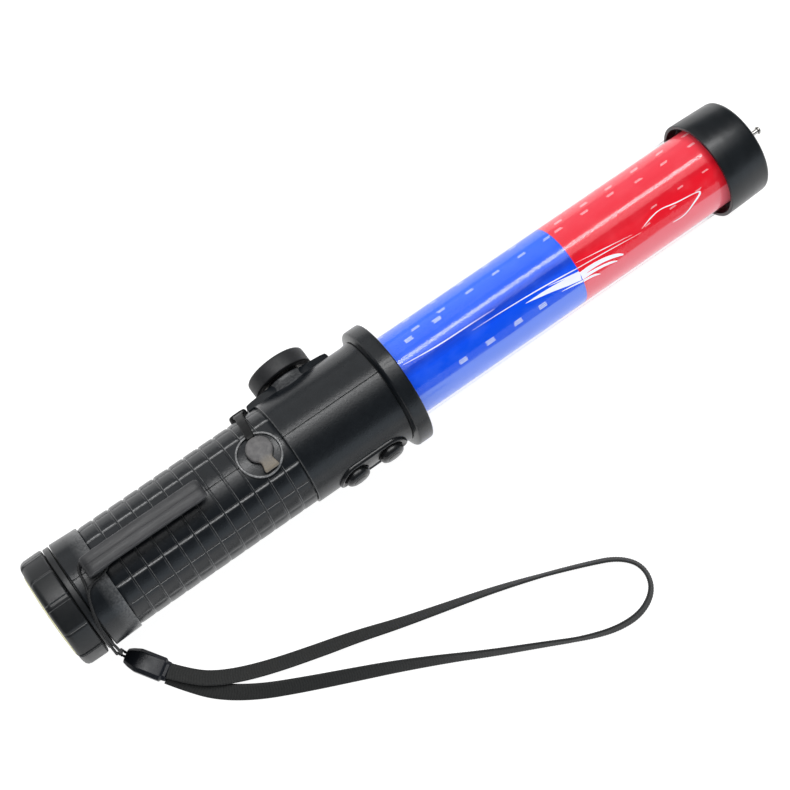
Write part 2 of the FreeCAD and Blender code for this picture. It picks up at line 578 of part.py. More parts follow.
def make_magnet_foot():
    plate = oblong("saddle_plate", "saddle_length", "saddle_width", "saddle_top - tool_start",
                   "magnet_x", "tool_start", along="y")
    neck = cylinder("saddle_neck", "neck_size", "cup_bottom - tool_start", x="magnet_x",
                    y="tool_start", along="y")
    blank = fuse("saddle_blank", [plate, neck])
    seat = cylinder("saddle_seat_form", "saddle_seat", "tool_span * 2",
                    x="magnet_x - tool_span")
    way = cylinder("saddle_screw_way", "screw_hole", "tool_span", x="magnet_x",
                   y="tool_start", along="y")
    subpart("magnet_saddle", cut("magnet_saddle", blank, fuse("saddle_tools", [seat, way])))

    outer = cylinder("cup_outer", "cup_radius", "cup_top - cup_bottom", x="magnet_x",
                     y="cup_bottom", along="y")
    inner = cylinder("cup_inner", "cup_radius - cup_wall", "tool_reach", x="magnet_x",
                     y="cup_bottom + cup_base", along="y")
    hole = cylinder("cup_hole", "screw_hole", "tool_reach", x="magnet_x",
                    y="cup_bottom - overrun", along="y")
    subpart("magnet_cup", cut("magnet_cup", outer, fuse("cup_tools", [inner, hole])))

    ring = cylinder("ring_outer", "ring_magnet_radius",
                    "ring_magnet_top - cup_bottom - cup_base", x="magnet_x",
                    y="cup_bottom + cup_base", along="y")
    ring_hole = cylinder("ring_hole", "ring_magnet_bore", "tool_reach", x="magnet_x",
                         y="cup_bottom", along="y")
    subpart("magnet_ring", cut("magnet_ring", ring, ring_hole))

    boot = cylinder("boot_outer", "cover_radius", "cover_top - cover_bottom", x="magnet_x",
                    y="cover_bottom", along="y")
    boot_inner = cylinder("boot_inner", "cover_inner", "cover_top - cover_face - tool_start",
                          x="magnet_x", y="tool_start", along="y")
    rim = doc.addObject("Part::Fillet", "boot_rim")
    rim.Base = boot
    doc.recompute()
    rim_radius = DIMS["cover_rim"]
    top_edges = [(number, rim_radius, rim_radius)
                 for number, edge in enumerate(boot.Shape.Edges, start=1)
                 if edge.BoundBox.YMin > DIMS["cover_top"] - 0.01]
    rim.Edges = top_edges
    subpart("magnet_cover", cut("magnet_cover", rim, boot_inner))

    head = cylinder("screw_head_disc", "screw_head", "screw_head_top - screw_head_under",
                    x="magnet_x", y="screw_head_under", along="y")
    shank = cylinder("screw_shank", "screw_radius", "screw_end - screw_head_under",
                     x="magnet_x", y="screw_head_under", along="y")
    subpart("magnet_screw", fuse("magnet_screw", [head, shank]))


# ---- light tube ------------------------------------------------------------------------------------------

def sleeve(name, outer, inner, start, end):
    subpart(name, turned(name, [(start, inner), (start, outer), (end, outer), (end, inner)]))


def holder(name, radius, start, end):
    disc = cylinder(name + "_disc", radius, end + " - " + start, x=start)
    slot = box(name + "_slot", start, "-0.5 * holder_slot_width", "-0.5 * holder_slot",
               end + " - " + start, "holder_slot_width", "holder_slot")
    subpart(name, cut(name, disc, slot))


def led_row(name, first, count):
    """Square diodes on both faces of the strip board."""
    pieces = []
    for number in range(count):
        for side, level in (("upper", "strip_thickness * 0.5"),
                            ("lower", "-0.5 * strip_thickness - led_height")):
            pieces.append(box("%s_%s_%d" % (name, side, number),
                              "%s + %d * led_pitch - led_size * 0.5" % (first, number),
                              "-0.5 * led_size", level, "led_size", "led_size",
                              "led_height"))
    subpart(name, compound(name, pieces))


def make_light_tube():
    sleeve("light_tube", "tube_radius", "tube_bore", "tube_start", "tube_end")
    sleeve("film_blue", "film_radius", "film_bore", "film_start", "film_joint")
    sleeve("film_red", "film_radius", "film_bore", "film_joint", "film_end")
    strip = box("strip_plate", "strip_start", "-0.5 * strip_width", "-0.5 * strip_thickness",
                "strip_end - strip_start", "strip_width", "strip_thickness")
    subpart("led_strip_board", compound("led_strip_board", [strip]))
    led_row("blue_leds", "led_first_blue", LED_COUNT_BLUE)
    led_row("red_leds", "led_first_red", LED_COUNT_RED)
    holder("strip_holder", "holder_radius", "ledge_start", "ledge_end")
    holder("strip_tip_holder", "tip_holder_radius", "tip_holder_start", "tip_holder_end")


def make_tip():
    subpart("tip_cap", turned("tip_cap", [
        ("tip_rim", "tip_lip_bore"), ("tip_rim", "tip_radius - tip_bevel"),
        ("tip_rim + tip_bevel", "tip_radius"), ("tip_round", "tip_radius_end"),
        ("tip_end - tip_bevel", "tip_round_radius"), ("tip_end", "tip_face_radius"),
        ("tip_end", "stud_hole"), ("tip_wall_start", "stud_hole"),
        ("tip_wall_start", "tip_hollow"), ("tip_socket_end", "tip_hollow"),
        ("tip_socket_end", "tip_socket"), ("tip_socket_start", "tip_socket"),
        ("tip_socket_start", "tip_lip_bore")]))
    stem = cylinder("stud_stem", "stud_radius", "stud_end - stud_start - overlap", x="stud_start")
    head = cylinder("stud_head", "stud_head_radius", "stud_end - stud_head_start",
                    x="stud_head_start")
    subpart("breaker_stud", fuse("breaker_stud", [stem, head]))
    nut = cylinder("nut_blank", "nut_radius", "tip_wall_start - nut_start", x="nut_start")
    way = cylinder("nut_way", "stud_hole", "tip_wall_start - nut_start", x="nut_start")
    subpart("stud_nut", cut("stud_nut", nut, way))


# ---- leads inside, lanyard outside ------------------------------------------------------------------------

LEAD_RED = [(97.4, 3.0, 4.0), (103.0, 3.4, 5.4), (108.0, -2.0, 7.0), (112.0, -8.0, 7.2),
            (118.0, -12.6, 6.4)]
LEAD_BLACK = [(97.4, -4.0, -4.0), (103.0, -5.6, -5.2), (108.0, -8.6, -6.6),
              (113.0, -11.2, -7.2), (118.0, -12.6, -6.4)]
LEAD_STRIP = [(140.0, -12.6, -6.0), (143.4, -9.6, -5.0), (146.4, -5.4, -3.4),
              (149.0, -3.0, -1.6)]

# The lanyard's routes are given from the tail face along x and from the axis across y;
# their heights are above the surface that the baton stands on.
STRING_ROUTE = [
    (13.8, -24.7, 3.2), (12.6, -22.9, 3.9), (12.2, -22.3, 6.6), (12.0, -23.2, 10.6),
    (11.9, -24.9, 16.2), (12.0, -25.1, 22.8), (12.0, -24.7, 29.6), (12.2, -22.8, 37.0),
    (12.9, -18.7, 43.6), (14.3, -13.0, 48.5), (16.4, -7.4, 50.9), (20.0, -4.9, 51.5),
    (25.0, -4.9, 51.6), (28.9, -2.8, 51.8), (28.9, 2.4, 52.0), (25.4, 5.0, 52.2),
    (21.0, 5.0, 52.6), (18.2, 1.9, 52.5), (17.8, -3.4, 52.2), (15.9, -8.8, 50.3),
    (13.6, -14.4, 47.3), (12.4, -19.8, 42.4), (13.0, -23.7, 35.6), (13.5, -25.4, 28.0),
    (13.6, -25.8, 20.4), (13.5, -25.0, 13.6), (13.6, -23.0, 8.6), (13.9, -21.4, 5.4),
    (14.2, -21.9, 3.2), (15.1, -23.9, 2.8),
]
RIBBON_ROUTE = [
    (24.6, -39.6, 4.3), (29.4, -45.6, 4.3), (36.2, -52.0, 4.0), (46.5, -57.6, 3.6),
    (60.5, -62.9, 3.3), (78.1, -68.2, 3.3), (93.7, -72.6, 3.4), (109.5, -78.0, 3.4),
    (128.6, -83.6, 3.4), (149.0, -89.5, 3.4), (169.3, -96.6, 3.4), (186.8, -103.6, 3.4),
    (198.6, -109.0, 3.4), (204.9, -117.2, 3.4), (202.6, -127.2, 3.4), (192.8, -132.6, 3.4),
    (180.4, -132.0, 3.4), (166.9, -127.0, 3.4), (152.1, -119.3, 3.4), (133.5, -109.9, 3.4),
    (115.5, -100.0, 3.4), (97.9, -91.0, 3.2), (80.6, -82.9, 2.8), (63.8, -75.0, 2.4),
    (48.2, -67.0, 2.0), (35.8, -57.8, 1.7), (28.0, -48.0, 1.6), (23.1, -40.5, 1.6),
]


def floor_points(route):
    """Heights above the surface become distances from the axis."""
    return [Vector(x, y, height - DIMS["flange_radius"]) for x, y, height in route]


def make_leads():
    for name, route in (("battery_lead_red", LEAD_RED), ("battery_lead_black", LEAD_BLACK),
                        ("strip_lead", LEAD_STRIP)):
        points = [Vector(*point) for point in route]
        subpart(name, cord_tube(name, points, DIMS["lead_diameter"]))


def make_lanyard():
    subpart("lanyard_string", cord_tube("lanyard_string", floor_points(STRING_ROUTE),
                                        DIMS["string_diameter"]))
    subpart("lanyard_ribbon", cord_tube("lanyard_ribbon", floor_points(RIBBON_ROUTE),
                                        DIMS["ribbon_diameter"]))
    blank = doc.addObject("Part::Box", "bead_blank")
    bind(blank, Length="bead_length", Width="bead_width", Height="bead_height")
    turn = Rotation(Vector(0, 0, 1), DIMS["bead_angle"])
    offset = turn.multVec(Vector(-DIMS["bead_length"] / 2, -DIMS["bead_width"] / 2, 0))
    blank.Placement = Placement(Vector(DIMS["bead_x"] + offset.x, DIMS["bead_y"] + offset.y,
                                       -DIMS["flange_radius"]), turn)
    bead = doc.addObject("Part::Chamfer", "bead_chamfer")
    bead.Base = blank
    doc.recompute()
    bead.Edges = [(number, DIMS["bead_edge"], DIMS["bead_edge"])
                  for number in range(1, len(blank.Shape.Edges) + 1)]
    subpart("lanyard_bead", compound("lanyard_bead", [bead]))


# ---- build, check and write ------------------------------------------------------------------------------

make_tail_cap()
make_torch()
make_tail_spring()
make_tail_collar()
make_shells()
make_clip()
make_battery()
make_port()
make_buttons()
make_magnet_foot()
make_light_tube()
make_tip()
make_leads()
make_lanyard()
doc.recompute()

faults = [thing.Name for thing in doc.Objects
          if "Invalid" in thing.State or "Error" in thing.State]
for piece in subparts:
    if piece.Shape.isNull() or not piece.Shape.isValid():
        faults.append(piece.Label + " has a bad shape")
if faults:
    raise RuntimeError("failed objects: " + ", ".join(faults))

os.makedirs("parts", exist_ok=True)
for piece in subparts:
    piece.Shape.exportStep("parts/" + piece.Label + ".step")
    bounds = piece.Shape.BoundBox
    print("%-26s solids %2d  volume %9.1f  x %7.1f %7.1f  y %6.1f %6.1f  z %6.1f %6.1f"
          % (piece.Label, len(piece.Shape.Solids), piece.Shape.Volume, bounds.XMin,
             bounds.XMax, bounds.YMin, bounds.YMax, bounds.ZMin, bounds.ZMax))
print(len(subparts), "sub-parts written")
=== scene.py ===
"""Looks of the traffic baton light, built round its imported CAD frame."""
import math
import random

import bpy
import numpy as np
from mathutils import Matrix, Vector


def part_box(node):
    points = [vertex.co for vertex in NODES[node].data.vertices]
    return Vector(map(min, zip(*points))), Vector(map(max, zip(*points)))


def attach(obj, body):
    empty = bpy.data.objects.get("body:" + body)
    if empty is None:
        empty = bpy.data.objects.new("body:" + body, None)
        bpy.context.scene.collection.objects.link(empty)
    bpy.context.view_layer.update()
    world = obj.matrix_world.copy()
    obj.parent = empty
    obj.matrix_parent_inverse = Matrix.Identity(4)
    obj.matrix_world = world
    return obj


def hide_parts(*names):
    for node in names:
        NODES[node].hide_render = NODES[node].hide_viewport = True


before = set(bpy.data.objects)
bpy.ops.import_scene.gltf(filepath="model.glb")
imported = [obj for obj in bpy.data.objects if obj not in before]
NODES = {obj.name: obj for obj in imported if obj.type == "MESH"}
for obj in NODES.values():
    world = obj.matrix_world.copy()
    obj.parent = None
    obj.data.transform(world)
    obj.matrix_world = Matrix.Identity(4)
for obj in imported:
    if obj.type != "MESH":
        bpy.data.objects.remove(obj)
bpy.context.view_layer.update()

MM = 0.001

# Sizes in millimetres.  Stations run along the baton from its tail face; radii and angles
# are about its axis, and an angle is measured from straight up towards the magnet's side.
TUBE_START, TUBE_END, TUBE_RADIUS, TUBE_BORE = 154.0, 333.6, 19.2, 18.2
FILM_JOINT = 250.4
GRID_START, GRID_PITCH, GRID_COUNT, GRIP_RADIUS = 26.3, 7.1, 12, 22.4
HEAD_RADIUS, FLANGE_RADIUS = 23.2, 27.4
BUTTONS = {"torch_button": 129.3, "mode_button": 146.0}
BUTTON_MIDDLE = sum(BUTTONS.values()) / 2
PORT_X = 100.0
MAGNET_X = 128.6
PLUG_X, PLUG_Y, STRAP_SKEW = 101.0, 1.2, 3.4

tube_low, tube_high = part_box("light_tube")
ORIGIN = Vector((tube_low.x - TUBE_START * MM, (tube_low.y + tube_high.y) / 2,
                 (tube_low.z + tube_high.z) / 2))


# ---- mesh helpers ----

def to_frame(points):
    """Baton millimetres to frame metres."""
    return np.asarray(points, float) * MM + np.array(ORIGIN)


def around(x, radius, angle):
    """A point at a station, a radius and an angle in degrees from the top."""
    turn = np.radians(angle)
    return np.stack(np.broadcast_arrays(x, radius * np.sin(turn), radius * np.cos(turn)), -1)


def placed(name, data):
    """A new object in the scene."""
    made = bpy.data.objects.new(name, data)
    bpy.context.scene.collection.objects.link(made)
    return made


def mesh_piece(name, points, faces, material, body, slot, replaces=(), sharp=38.0):
    """A smooth-shaded piece, in frame metres, that rides on a body."""
    mesh = bpy.data.meshes.new(name)
    mesh.from_pydata([tuple(p) for p in np.reshape(points, (-1, 3))], [], faces)
    mesh.validate()
    mesh.shade_smooth()
    mesh.set_sharp_from_angle(angle=math.radians(sharp))
    mesh.materials.append(material)
    piece = placed(name, mesh)
    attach(piece, body)
    if replaces:
        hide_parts(*replaces)
    return piece


def mark_wear_and_highlight(piece, values):
    """How much each point takes of its material's marked colour, from 0 to 1: a painted highlight
    on most pieces, real rubbing on the plug's tab.
    """
    wear = piece.data.attributes.new("wear", "FLOAT", "POINT")
    wear.data.foreach_set("value", np.ravel(values).astype(np.float32))


def loft(rings, closed=False, first=0):
    """Faces over a stack of rings, with a flat face at each end unless it closes on itself."""
    rows, columns = len(rings), len(rings[0])
    faces = []
    for row in range(rows if closed else rows - 1):
        here, below = (first + k % rows * columns for k in (row, row + 1))
        for column in range(columns):
            beside = (column + 1) % columns
            faces.append((here + column, here + beside, below + beside, below + column))
    if not closed:
        last = first + (rows - 1) * columns
        faces.append(tuple(first + c for c in reversed(range(columns))))
        faces.append(tuple(last + c for c in range(columns)))
    return faces


def lofted(name, rings, *part, closed=False, **more):
    """A piece over a stack of rings in baton millimetres.

    part is its material, body, slot and what it replaces, as mesh_piece takes them; the slot is
    not used."""
    return mesh_piece(name, to_frame(rings), loft(rings, closed), *part, **more)


ROUNDING_POINTS = 4


def softened(corners):
    """A closed outline of (across, up) corners; a third value is a corner's rounding."""
    points = []
    count = len(corners)
    for index, (across, up, *rounding) in enumerate(corners):
        here = np.array([across, up])
        if not rounding:
            points.append(here)
            continue
        before = np.array(corners[index - 1][:2]) - here
        after = np.array(corners[(index + 1) % count][:2]) - here
        reach = min(rounding[0], 0.45 * np.linalg.norm(before), 0.45 * np.linalg.norm(after))
        start = here + before / np.linalg.norm(before) * reach
        end = here + after / np.linalg.norm(after) * reach
        for t in np.linspace(0, 1, ROUNDING_POINTS):
            points.append((1 - t) ** 2 * start + 2 * t * (1 - t) * here + t * t * end)
    return np.array(points)


def lathe(name, corners, *part, angles=None, shape=None, **more):
    """A ring turned about the baton's axis from a closed (station, radius) outline."""
    outline = softened(corners)
    angles = np.arange(0, 360, 2.5) if angles is None else np.asarray(angles)
    x, angle = np.meshgrid(outline[:, 0], angles, indexing="ij")
    radius = np.repeat(outline[:, 1:2], len(angles), axis=1)
    if shape:
        radius = shape(x, radius, angle)
    return lofted(name, around(x, radius, angle), *part, closed=True, **more)


def disc_piece(name, outline, centre, outward, *part, sides=48):
    """A piece turned about its own axis from a (radius, height) outline."""
    profile = softened(outline)
    outward = Vector(outward).normalized()
    across = outward.orthogonal().normalized()
    other = outward.cross(across)
    turn = np.radians(np.arange(sides) * 360 / sides)
    ring = np.outer(np.cos(turn), across) + np.outer(np.sin(turn), other)
    rings = [np.array(centre) + ring * max(r, 0.001) + np.array(outward) * h for r, h in profile]
    return lofted(name, rings, *part)


def falloff(distance, half, bevel):
    """1 inside a groove's half width, easing to 0 over its bevel."""
    t = np.clip((half + bevel - np.abs(distance)) / bevel, 0, 1)
    return t * t * (3 - 2 * t)


# ---- materials ----

def node(tree, kind, inputs=(), **settings):
    """A shader node, its kind without "ShaderNode"; an input may be a value or a socket."""
    made = tree.nodes.new("ShaderNode" + kind)
    for key, value in settings.items():
        setattr(made, key, value)
    for key, value in dict(inputs).items():
        if isinstance(value, bpy.types.NodeSocket):
            tree.links.new(value, made.inputs[key])
        else:
            made.inputs[key].default_value = value
    return made


def blank(name):
    """A new material: its tree, its shader and the object's coordinates in millimetres."""
    material = bpy.data.materials.new(name)
    material.use_nodes = True
    tree = material.node_tree
    shader = tree.nodes["Principled BSDF"]
    place = node(tree, "TexCoord").outputs["Object"]
    scaled = node(tree, "VectorMath", {0: place, "Scale": 1 / MM}, operation="SCALE")
    return material, tree, shader, scaled.outputs[0]


def compute(tree, operation, first, second, kind="Math"):
    """The result of one operation on two values, or on two vectors with the vector kind."""
    return node(tree, kind, {0: first, 1: second}, operation=operation).outputs[0]


def noise(tree, place, scale, detail=3.0, stretch=None):
    """Noise with about `scale` features a millimetre."""
    if stretch:
        place = compute(tree, "MULTIPLY", place, stretch, "VectorMath")
    return node(tree, "TexNoise",
                {"Vector": place, "Scale": scale, "Detail": detail}).outputs["Fac"]


def spread(tree, value, low, high, start=0.3, end=0.7):
    """A value from start to end, spread over low to high."""
    limits = {"From Min": start, "From Max": end, "To Min": low, "To Max": high}
    return node(tree, "MapRange", {"Value": value, **limits}).outputs["Result"]


def blend_colours(tree, share, first, second):
    """first where share is 0, second where it is 1."""
    mixed = node(tree, "Mix", data_type="RGBA")
    for index, value in ((0, share), (6, first), (7, second)):
        if isinstance(value, bpy.types.NodeSocket):
            tree.links.new(value, mixed.inputs[index])
        elif index:
            mixed.inputs[index].default_value = (*value, 1)
        else:
            mixed.inputs[index].default_value = value
    return mixed.outputs[2]


def bump(tree, shader, height, strength, depth_mm):
    """A fine relief on the surface."""
    made = node(tree, "Bump", {"Height": height, "Strength": strength, "Distance": depth_mm * MM})
    tree.links.new(made.outputs[0], shader.inputs["Normal"])


def solid(name, dark, light, rough, patch=0.12, grain=3.0, grain_depth=0.02, stretch=None,
          wear=None, **sockets):
    """A solid material: two close tones in patches, uneven gloss and a fine grain.

    With a second colour for marked points, it turns that colour where the piece is marked: a
    painted highlight on lit edges on most pieces, real rubbing on the plug's tab."""
    material, tree, shader, place = blank(name)
    tone = spread(tree, noise(tree, place, patch, 4.0, stretch), 0.0, 1.0)
    colour = blend_colours(tree, tone, dark, light)
    fine = noise(tree, place, grain, 2.0, stretch)
    gloss = spread(tree, noise(tree, place, patch * 2.6, 5.0, stretch), rough[0], rough[1])
    if wear:
        marked = node(tree, "Attribute", attribute_name="wear").outputs["Fac"]
        wear_and_highlight_share = compute(tree, "MULTIPLY", marked, spread(tree, fine, 0.35, 1.0))
        colour = blend_colours(tree, wear_and_highlight_share, colour, wear)
    tree.links.new(colour, shader.inputs["Base Color"])
    tree.links.new(gloss, shader.inputs["Roughness"])
    bump(tree, shader, fine, 0.5, grain_depth)
    for key, value in sockets.items():
        shader.inputs[key.replace("_", " ")].default_value = value
    return material


# The shell's lighter second colour is a painted highlight on lit groove edges, chamfers and rims,
# and on the port ring and the magnet boss.
SHELL = solid(
    "moulded_black", (0.006, 0.008, 0.0105), (0.009, 0.0115, 0.0145), (0.27, 0.32), patch=0.3,
    grain=1.1, grain_depth=0.07, wear=(0.4, 0.405, 0.41), Specular_IOR_Level=0.42)
# The cap's lighter second colour is a painted highlight on its step edges and facet ridges.
CAP = solid(
    "cap_black", (0.01, 0.0115, 0.013), (0.014, 0.0155, 0.017), (0.34, 0.42), grain=1.4,
    grain_depth=0.05, wear=(0.22, 0.225, 0.23), Specular_IOR_Level=0.42)
# The clip's lighter second colour is a painted highlight along the arm's upper edges and ends.
CLIP = solid(
    "clip_black", (0.018, 0.019, 0.021), (0.034, 0.035, 0.038), (0.4, 0.54), patch=0.5, grain=2.4,
    grain_depth=0.08, stretch=(0.1, 1.0, 1.0), wear=(0.11, 0.11, 0.115), Specular_IOR_Level=0.45)
RUBBER = solid(
    "foot_rubber", (0.014, 0.015, 0.017), (0.021, 0.022, 0.024), (0.48, 0.6), grain=3.0,
    grain_depth=0.03, Specular_IOR_Level=0.4)
STRAP_RUBBER = solid(
    "strap_rubber", (0.004, 0.0045, 0.005), (0.008, 0.0085, 0.009), (0.45, 0.6), grain=4.0,
    grain_depth=0.03, Specular_IOR_Level=0.25)
PLUG_RUBBER = solid(
    "plug_rubber", (0.08, 0.078, 0.08), (0.14, 0.136, 0.136), (0.46, 0.6), patch=0.6, grain=3.0,
    grain_depth=0.04, wear=(0.27, 0.23, 0.17))
BUTTON = solid(
    "button_silicone", (0.006, 0.007, 0.008), (0.011, 0.012, 0.014), (0.22, 0.32), grain=1.4,
    grain_depth=0.02)
TIP = solid(
    "tip_black", (0.006, 0.008, 0.01), (0.011, 0.014, 0.017), (0.28, 0.36), grain=1.6,
    grain_depth=0.03, stretch=(1.0, 0.5, 0.5), Specular_IOR_Level=0.42)
BEAD = solid(
    "bead_black", (0.008, 0.01, 0.014), (0.013, 0.015, 0.02), (0.24, 0.36), grain=2.4,
    grain_depth=0.025, Specular_IOR_Level=0.25)
STEEL = solid(
    "bright_steel", (0.4, 0.39, 0.37), (0.66, 0.64, 0.61), (0.18, 0.34), patch=1.6, grain=8.0,
    grain_depth=0.01, Metallic=1.0)
CORD = solid(
    "cord_black", (0.008, 0.008, 0.009), (0.02, 0.021, 0.022), (0.62, 0.8), patch=1.6, grain=6.0,
    grain_depth=0.05)
WEAVE = solid(
    "ribbon_weave", (0.007, 0.008, 0.008), (0.014, 0.015, 0.015), (0.66, 0.84), patch=1.1,
    grain=3.0, grain_depth=0.07, wear=(0.024, 0.025, 0.024))


def clear(name, tint, gloss, ior=1.5):
    """Clear plastic: what is behind it shows, under a gloss that grows at its edge."""
    material, tree, shader, place = blank(name)
    tree.nodes.remove(shader)
    through = node(tree, "BsdfTransparent", {"Color": (*tint, 1)})
    waver = noise(tree, place, 0.05, 2.0)
    mirror = node(tree, "BsdfGlossy", {"Roughness": spread(tree, waver, gloss[0], gloss[1])})
    edge = node(tree, "Fresnel", {"IOR": ior}).outputs[0]
    behind = node(tree, "NewGeometry").outputs["Backfacing"]
    share = compute(tree, "MULTIPLY", edge, compute(tree, "SUBTRACT", 1.0, behind))
    mixed = node(tree, "MixShader", {0: share, 1: through.outputs[0], 2: mirror.outputs[0]})
    tree.links.new(mixed.outputs[0], tree.nodes["Material Output"].inputs["Surface"])
    return material


def film(name, stops, pale):
    """A coloured film rolled into a tube, with bands painted round the axis: lighter on the upper
    side and paler on the lower side as painted reflections of the light above and of the floor, a
    darker band below the highlight as painted shade, and a deep band for the film's double layer.

    Each stop is an angle, a colour and how solid the film looks there."""
    material, tree, shader, place = blank(name)
    axis = [c / MM for c in ORIGIN]
    centred = compute(tree, "SUBTRACT", place, (0, axis[1], axis[2]), "VectorMath")
    parts = node(tree, "SeparateXYZ", {0: centred}).outputs
    turn = compute(tree, "ARCTAN2", parts[1], parts[2])
    streaks = noise(tree, place, 0.5, 4.0, (0.04, 1.0, 1.0))
    wander = spread(tree, streaks, -0.05, 0.05)
    share = spread(tree, compute(tree, "ADD", turn, wander), 0.0, 1.0, -math.pi, math.pi)
    ramp = node(tree, "ValToRGB", {"Fac": share})
    elements = ramp.color_ramp.elements
    elements.remove(elements[-1])
    for angle, colour, solidity in stops:
        element = elements.new((angle + 180) / 360)
        element.color = (*colour, solidity)
    elements.remove(elements[0])
    patches = spread(tree, noise(tree, place, 0.14, 5.0, (0.6, 1.0, 1.0)), 0.0, 0.22, 0.45, 0.75)
    colour = blend_colours(tree, patches, ramp.outputs["Color"], pale)
    tree.links.new(colour, shader.inputs["Base Color"])
    tree.links.new(ramp.outputs["Alpha"], shader.inputs["Alpha"])
    # A painted glow: the film gives off a little light in its own colour.
    tree.links.new(colour, shader.inputs["Emission Color"])
    shader.inputs["Emission Strength"].default_value = 0.2
    shader.inputs["Roughness"].default_value = 0.4
    shader.inputs["Specular IOR Level"].default_value = 0.1
    bump(tree, shader, streaks, 0.2, 0.03)
    return material


BLUE_PALE, RED_PALE = (0.12, 0.27, 0.92), (0.92, 0.14, 0.17)
# Bands by angle: the lighter stops from -6 to 70 and the pale stops from -106 to -55 are painted
# reflections of the light above and of the floor, the dark stop at -14 is painted shade below the
# highlight, and the deep stops from -51 to -26 stand for the film's double layer.
FILM = {
    "blue": film("blue_film", [
        (-179, (0.01, 0.12, 0.84), 0.9), (-114, (0.03, 0.16, 0.86), 0.9),
        (-106, (0.20, 0.33, 0.98), 0.93), (-55, (0.16, 0.30, 0.98), 0.96),
        (-51, (0.001, 0.095, 0.86), 1), (-26, (0.001, 0.085, 0.88), 1),
        (-14, (0.006, 0.055, 0.58), 1), (-6, (0.02, 0.11, 0.84), 1),
        (30, (0.05, 0.17, 0.90), 1), (70, (0.065, 0.19, 0.90), 0.96),
        (110, (0.01, 0.12, 0.84), 0.9), (179, (0.01, 0.12, 0.84), 0.9)], BLUE_PALE),
    "red": film("red_film", [
        (-179, (0.82, 0.02, 0.04), 0.9), (-114, (0.86, 0.03, 0.06), 0.9),
        (-106, (0.99, 0.24, 0.29), 0.93), (-55, (0.97, 0.18, 0.22), 0.96),
        (-51, (0.90, 0.010, 0.026), 1), (-26, (0.88, 0.008, 0.022), 1),
        (-14, (0.76, 0.008, 0.022), 1), (-4, (0.84, 0.030, 0.05), 1),
        (30, (0.88, 0.065, 0.09), 1), (70, (0.90, 0.085, 0.11), 0.96),
        (110, (0.82, 0.02, 0.04), 0.9), (179, (0.82, 0.02, 0.04), 0.9)], RED_PALE),
}
# The dashes glow a little: a painted glow that brightens them.
DASH = {
    "blue": solid("blue_dash", (0.45, 0.60, 0.96), (0.85, 0.90, 1.00), (0.2, 0.4), patch=1.2,
                  Emission_Color=(0.7, 0.8, 1, 1), Emission_Strength=0.15),
    "red": solid("red_dash", (0.94, 0.42, 0.45), (1.00, 0.80, 0.82), (0.2, 0.4), patch=1.2,
                 Emission_Color=(1, 0.7, 0.7, 1), Emission_Strength=0.15),
}
# Painted reflection: a white, glowing finish for strips that stand for the glints along the films.
PAINTED_GLINT = solid(
    "film_crease", (0.86, 0.88, 0.96), (1.0, 1.0, 1.0), (0.1, 0.25), patch=0.6,
    Emission_Color=(1, 1, 1, 1), Emission_Strength=0.3)
GLASS = clear("clear_tube", (0.985, 0.99, 1.0), (0.11, 0.15), 1.58)
LENS = clear("clear_lens", (0.99, 0.98, 0.80), (0.04, 0.10), 1.55)
PHOSPHOR = solid("yellow_phosphor", (0.86, 0.62, 0.03), (0.95, 0.74, 0.08), (0.5, 0.7))
INNER = [
    ("clip_foot strip_holder strip_tip_holder lamp_carrier battery_tray torch_switch mode_switch"
     " dc_jack", solid("inner_plastic", (0.02, 0.02, 0.021), (0.035, 0.035, 0.036), (0.4, 0.6))),
    ("torch_reflector battery_contact magnet_cup magnet_screw stud_nut", STEEL),
    ("torch_emitter", PHOSPHOR),
    ("torch_led_board", solid("board_aluminium", (0.60, 0.60, 0.60), (0.74, 0.74, 0.74),
                              (0.35, 0.5), Metallic=1.0)),
    ("tail_spring", solid("spring_steel", (0.45, 0.45, 0.46), (0.62, 0.62, 0.63), (0.25, 0.4),
                          Metallic=1.0)),
    ("tail_o_ring battery_lead_black", RUBBER),
    ("battery_cell", solid("cell_sleeve", (0.02, 0.10, 0.28), (0.03, 0.14, 0.34), (0.2, 0.32))),
    ("jack_board control_board", solid("green_board", (0.01, 0.09, 0.03), (0.02, 0.13, 0.05),
                                       (0.3, 0.45))),
    ("led_strip_board", solid("white_board", (0.70, 0.71, 0.72), (0.80, 0.81, 0.82), (0.4, 0.6))),
    ("magnet_ring", solid("ferrite", (0.06, 0.06, 0.065), (0.10, 0.10, 0.105), (0.6, 0.8))),
    ("blue_leds red_leds", solid("diode_case", (0.80, 0.80, 0.74), (0.90, 0.90, 0.86),
                                 (0.2, 0.4), patch=0.8)),
    ("battery_lead_red strip_lead", solid("red_lead", (0.40, 0.01, 0.01), (0.52, 0.02, 0.02),
                                          (0.4, 0.55))),
]


# ---- light, floor and camera ----

LIGHTS_AIM = (0.0, 0.0, 0.03)
# Panels: name, place, size, watts and colour.
LIGHTS = [
    ("overhead_strip", (0.10, 0.33, 1.25), (1.5, 0.20), 11.5, (1, 1, 1)),
    ("overhead_soft", (0.10, 0.04, 1.25), (1.5, 0.46), 3.4, (1, 1, 1)),
    ("left_fill", (-0.25, 1.25, 0.85), (1.7, 1.3), 5.0, (1, 1, 1)),
    ("right_fill", (0.3, -1.35, 0.30), (2.4, 0.5), 4.6, (0.80, 0.90, 1.0)),
]
WORLD_LIGHT, WORLD_SEEN, FLOOR_GLOW, FLOOR_HALF = 0.10, 0.92, 0.97, 3.0


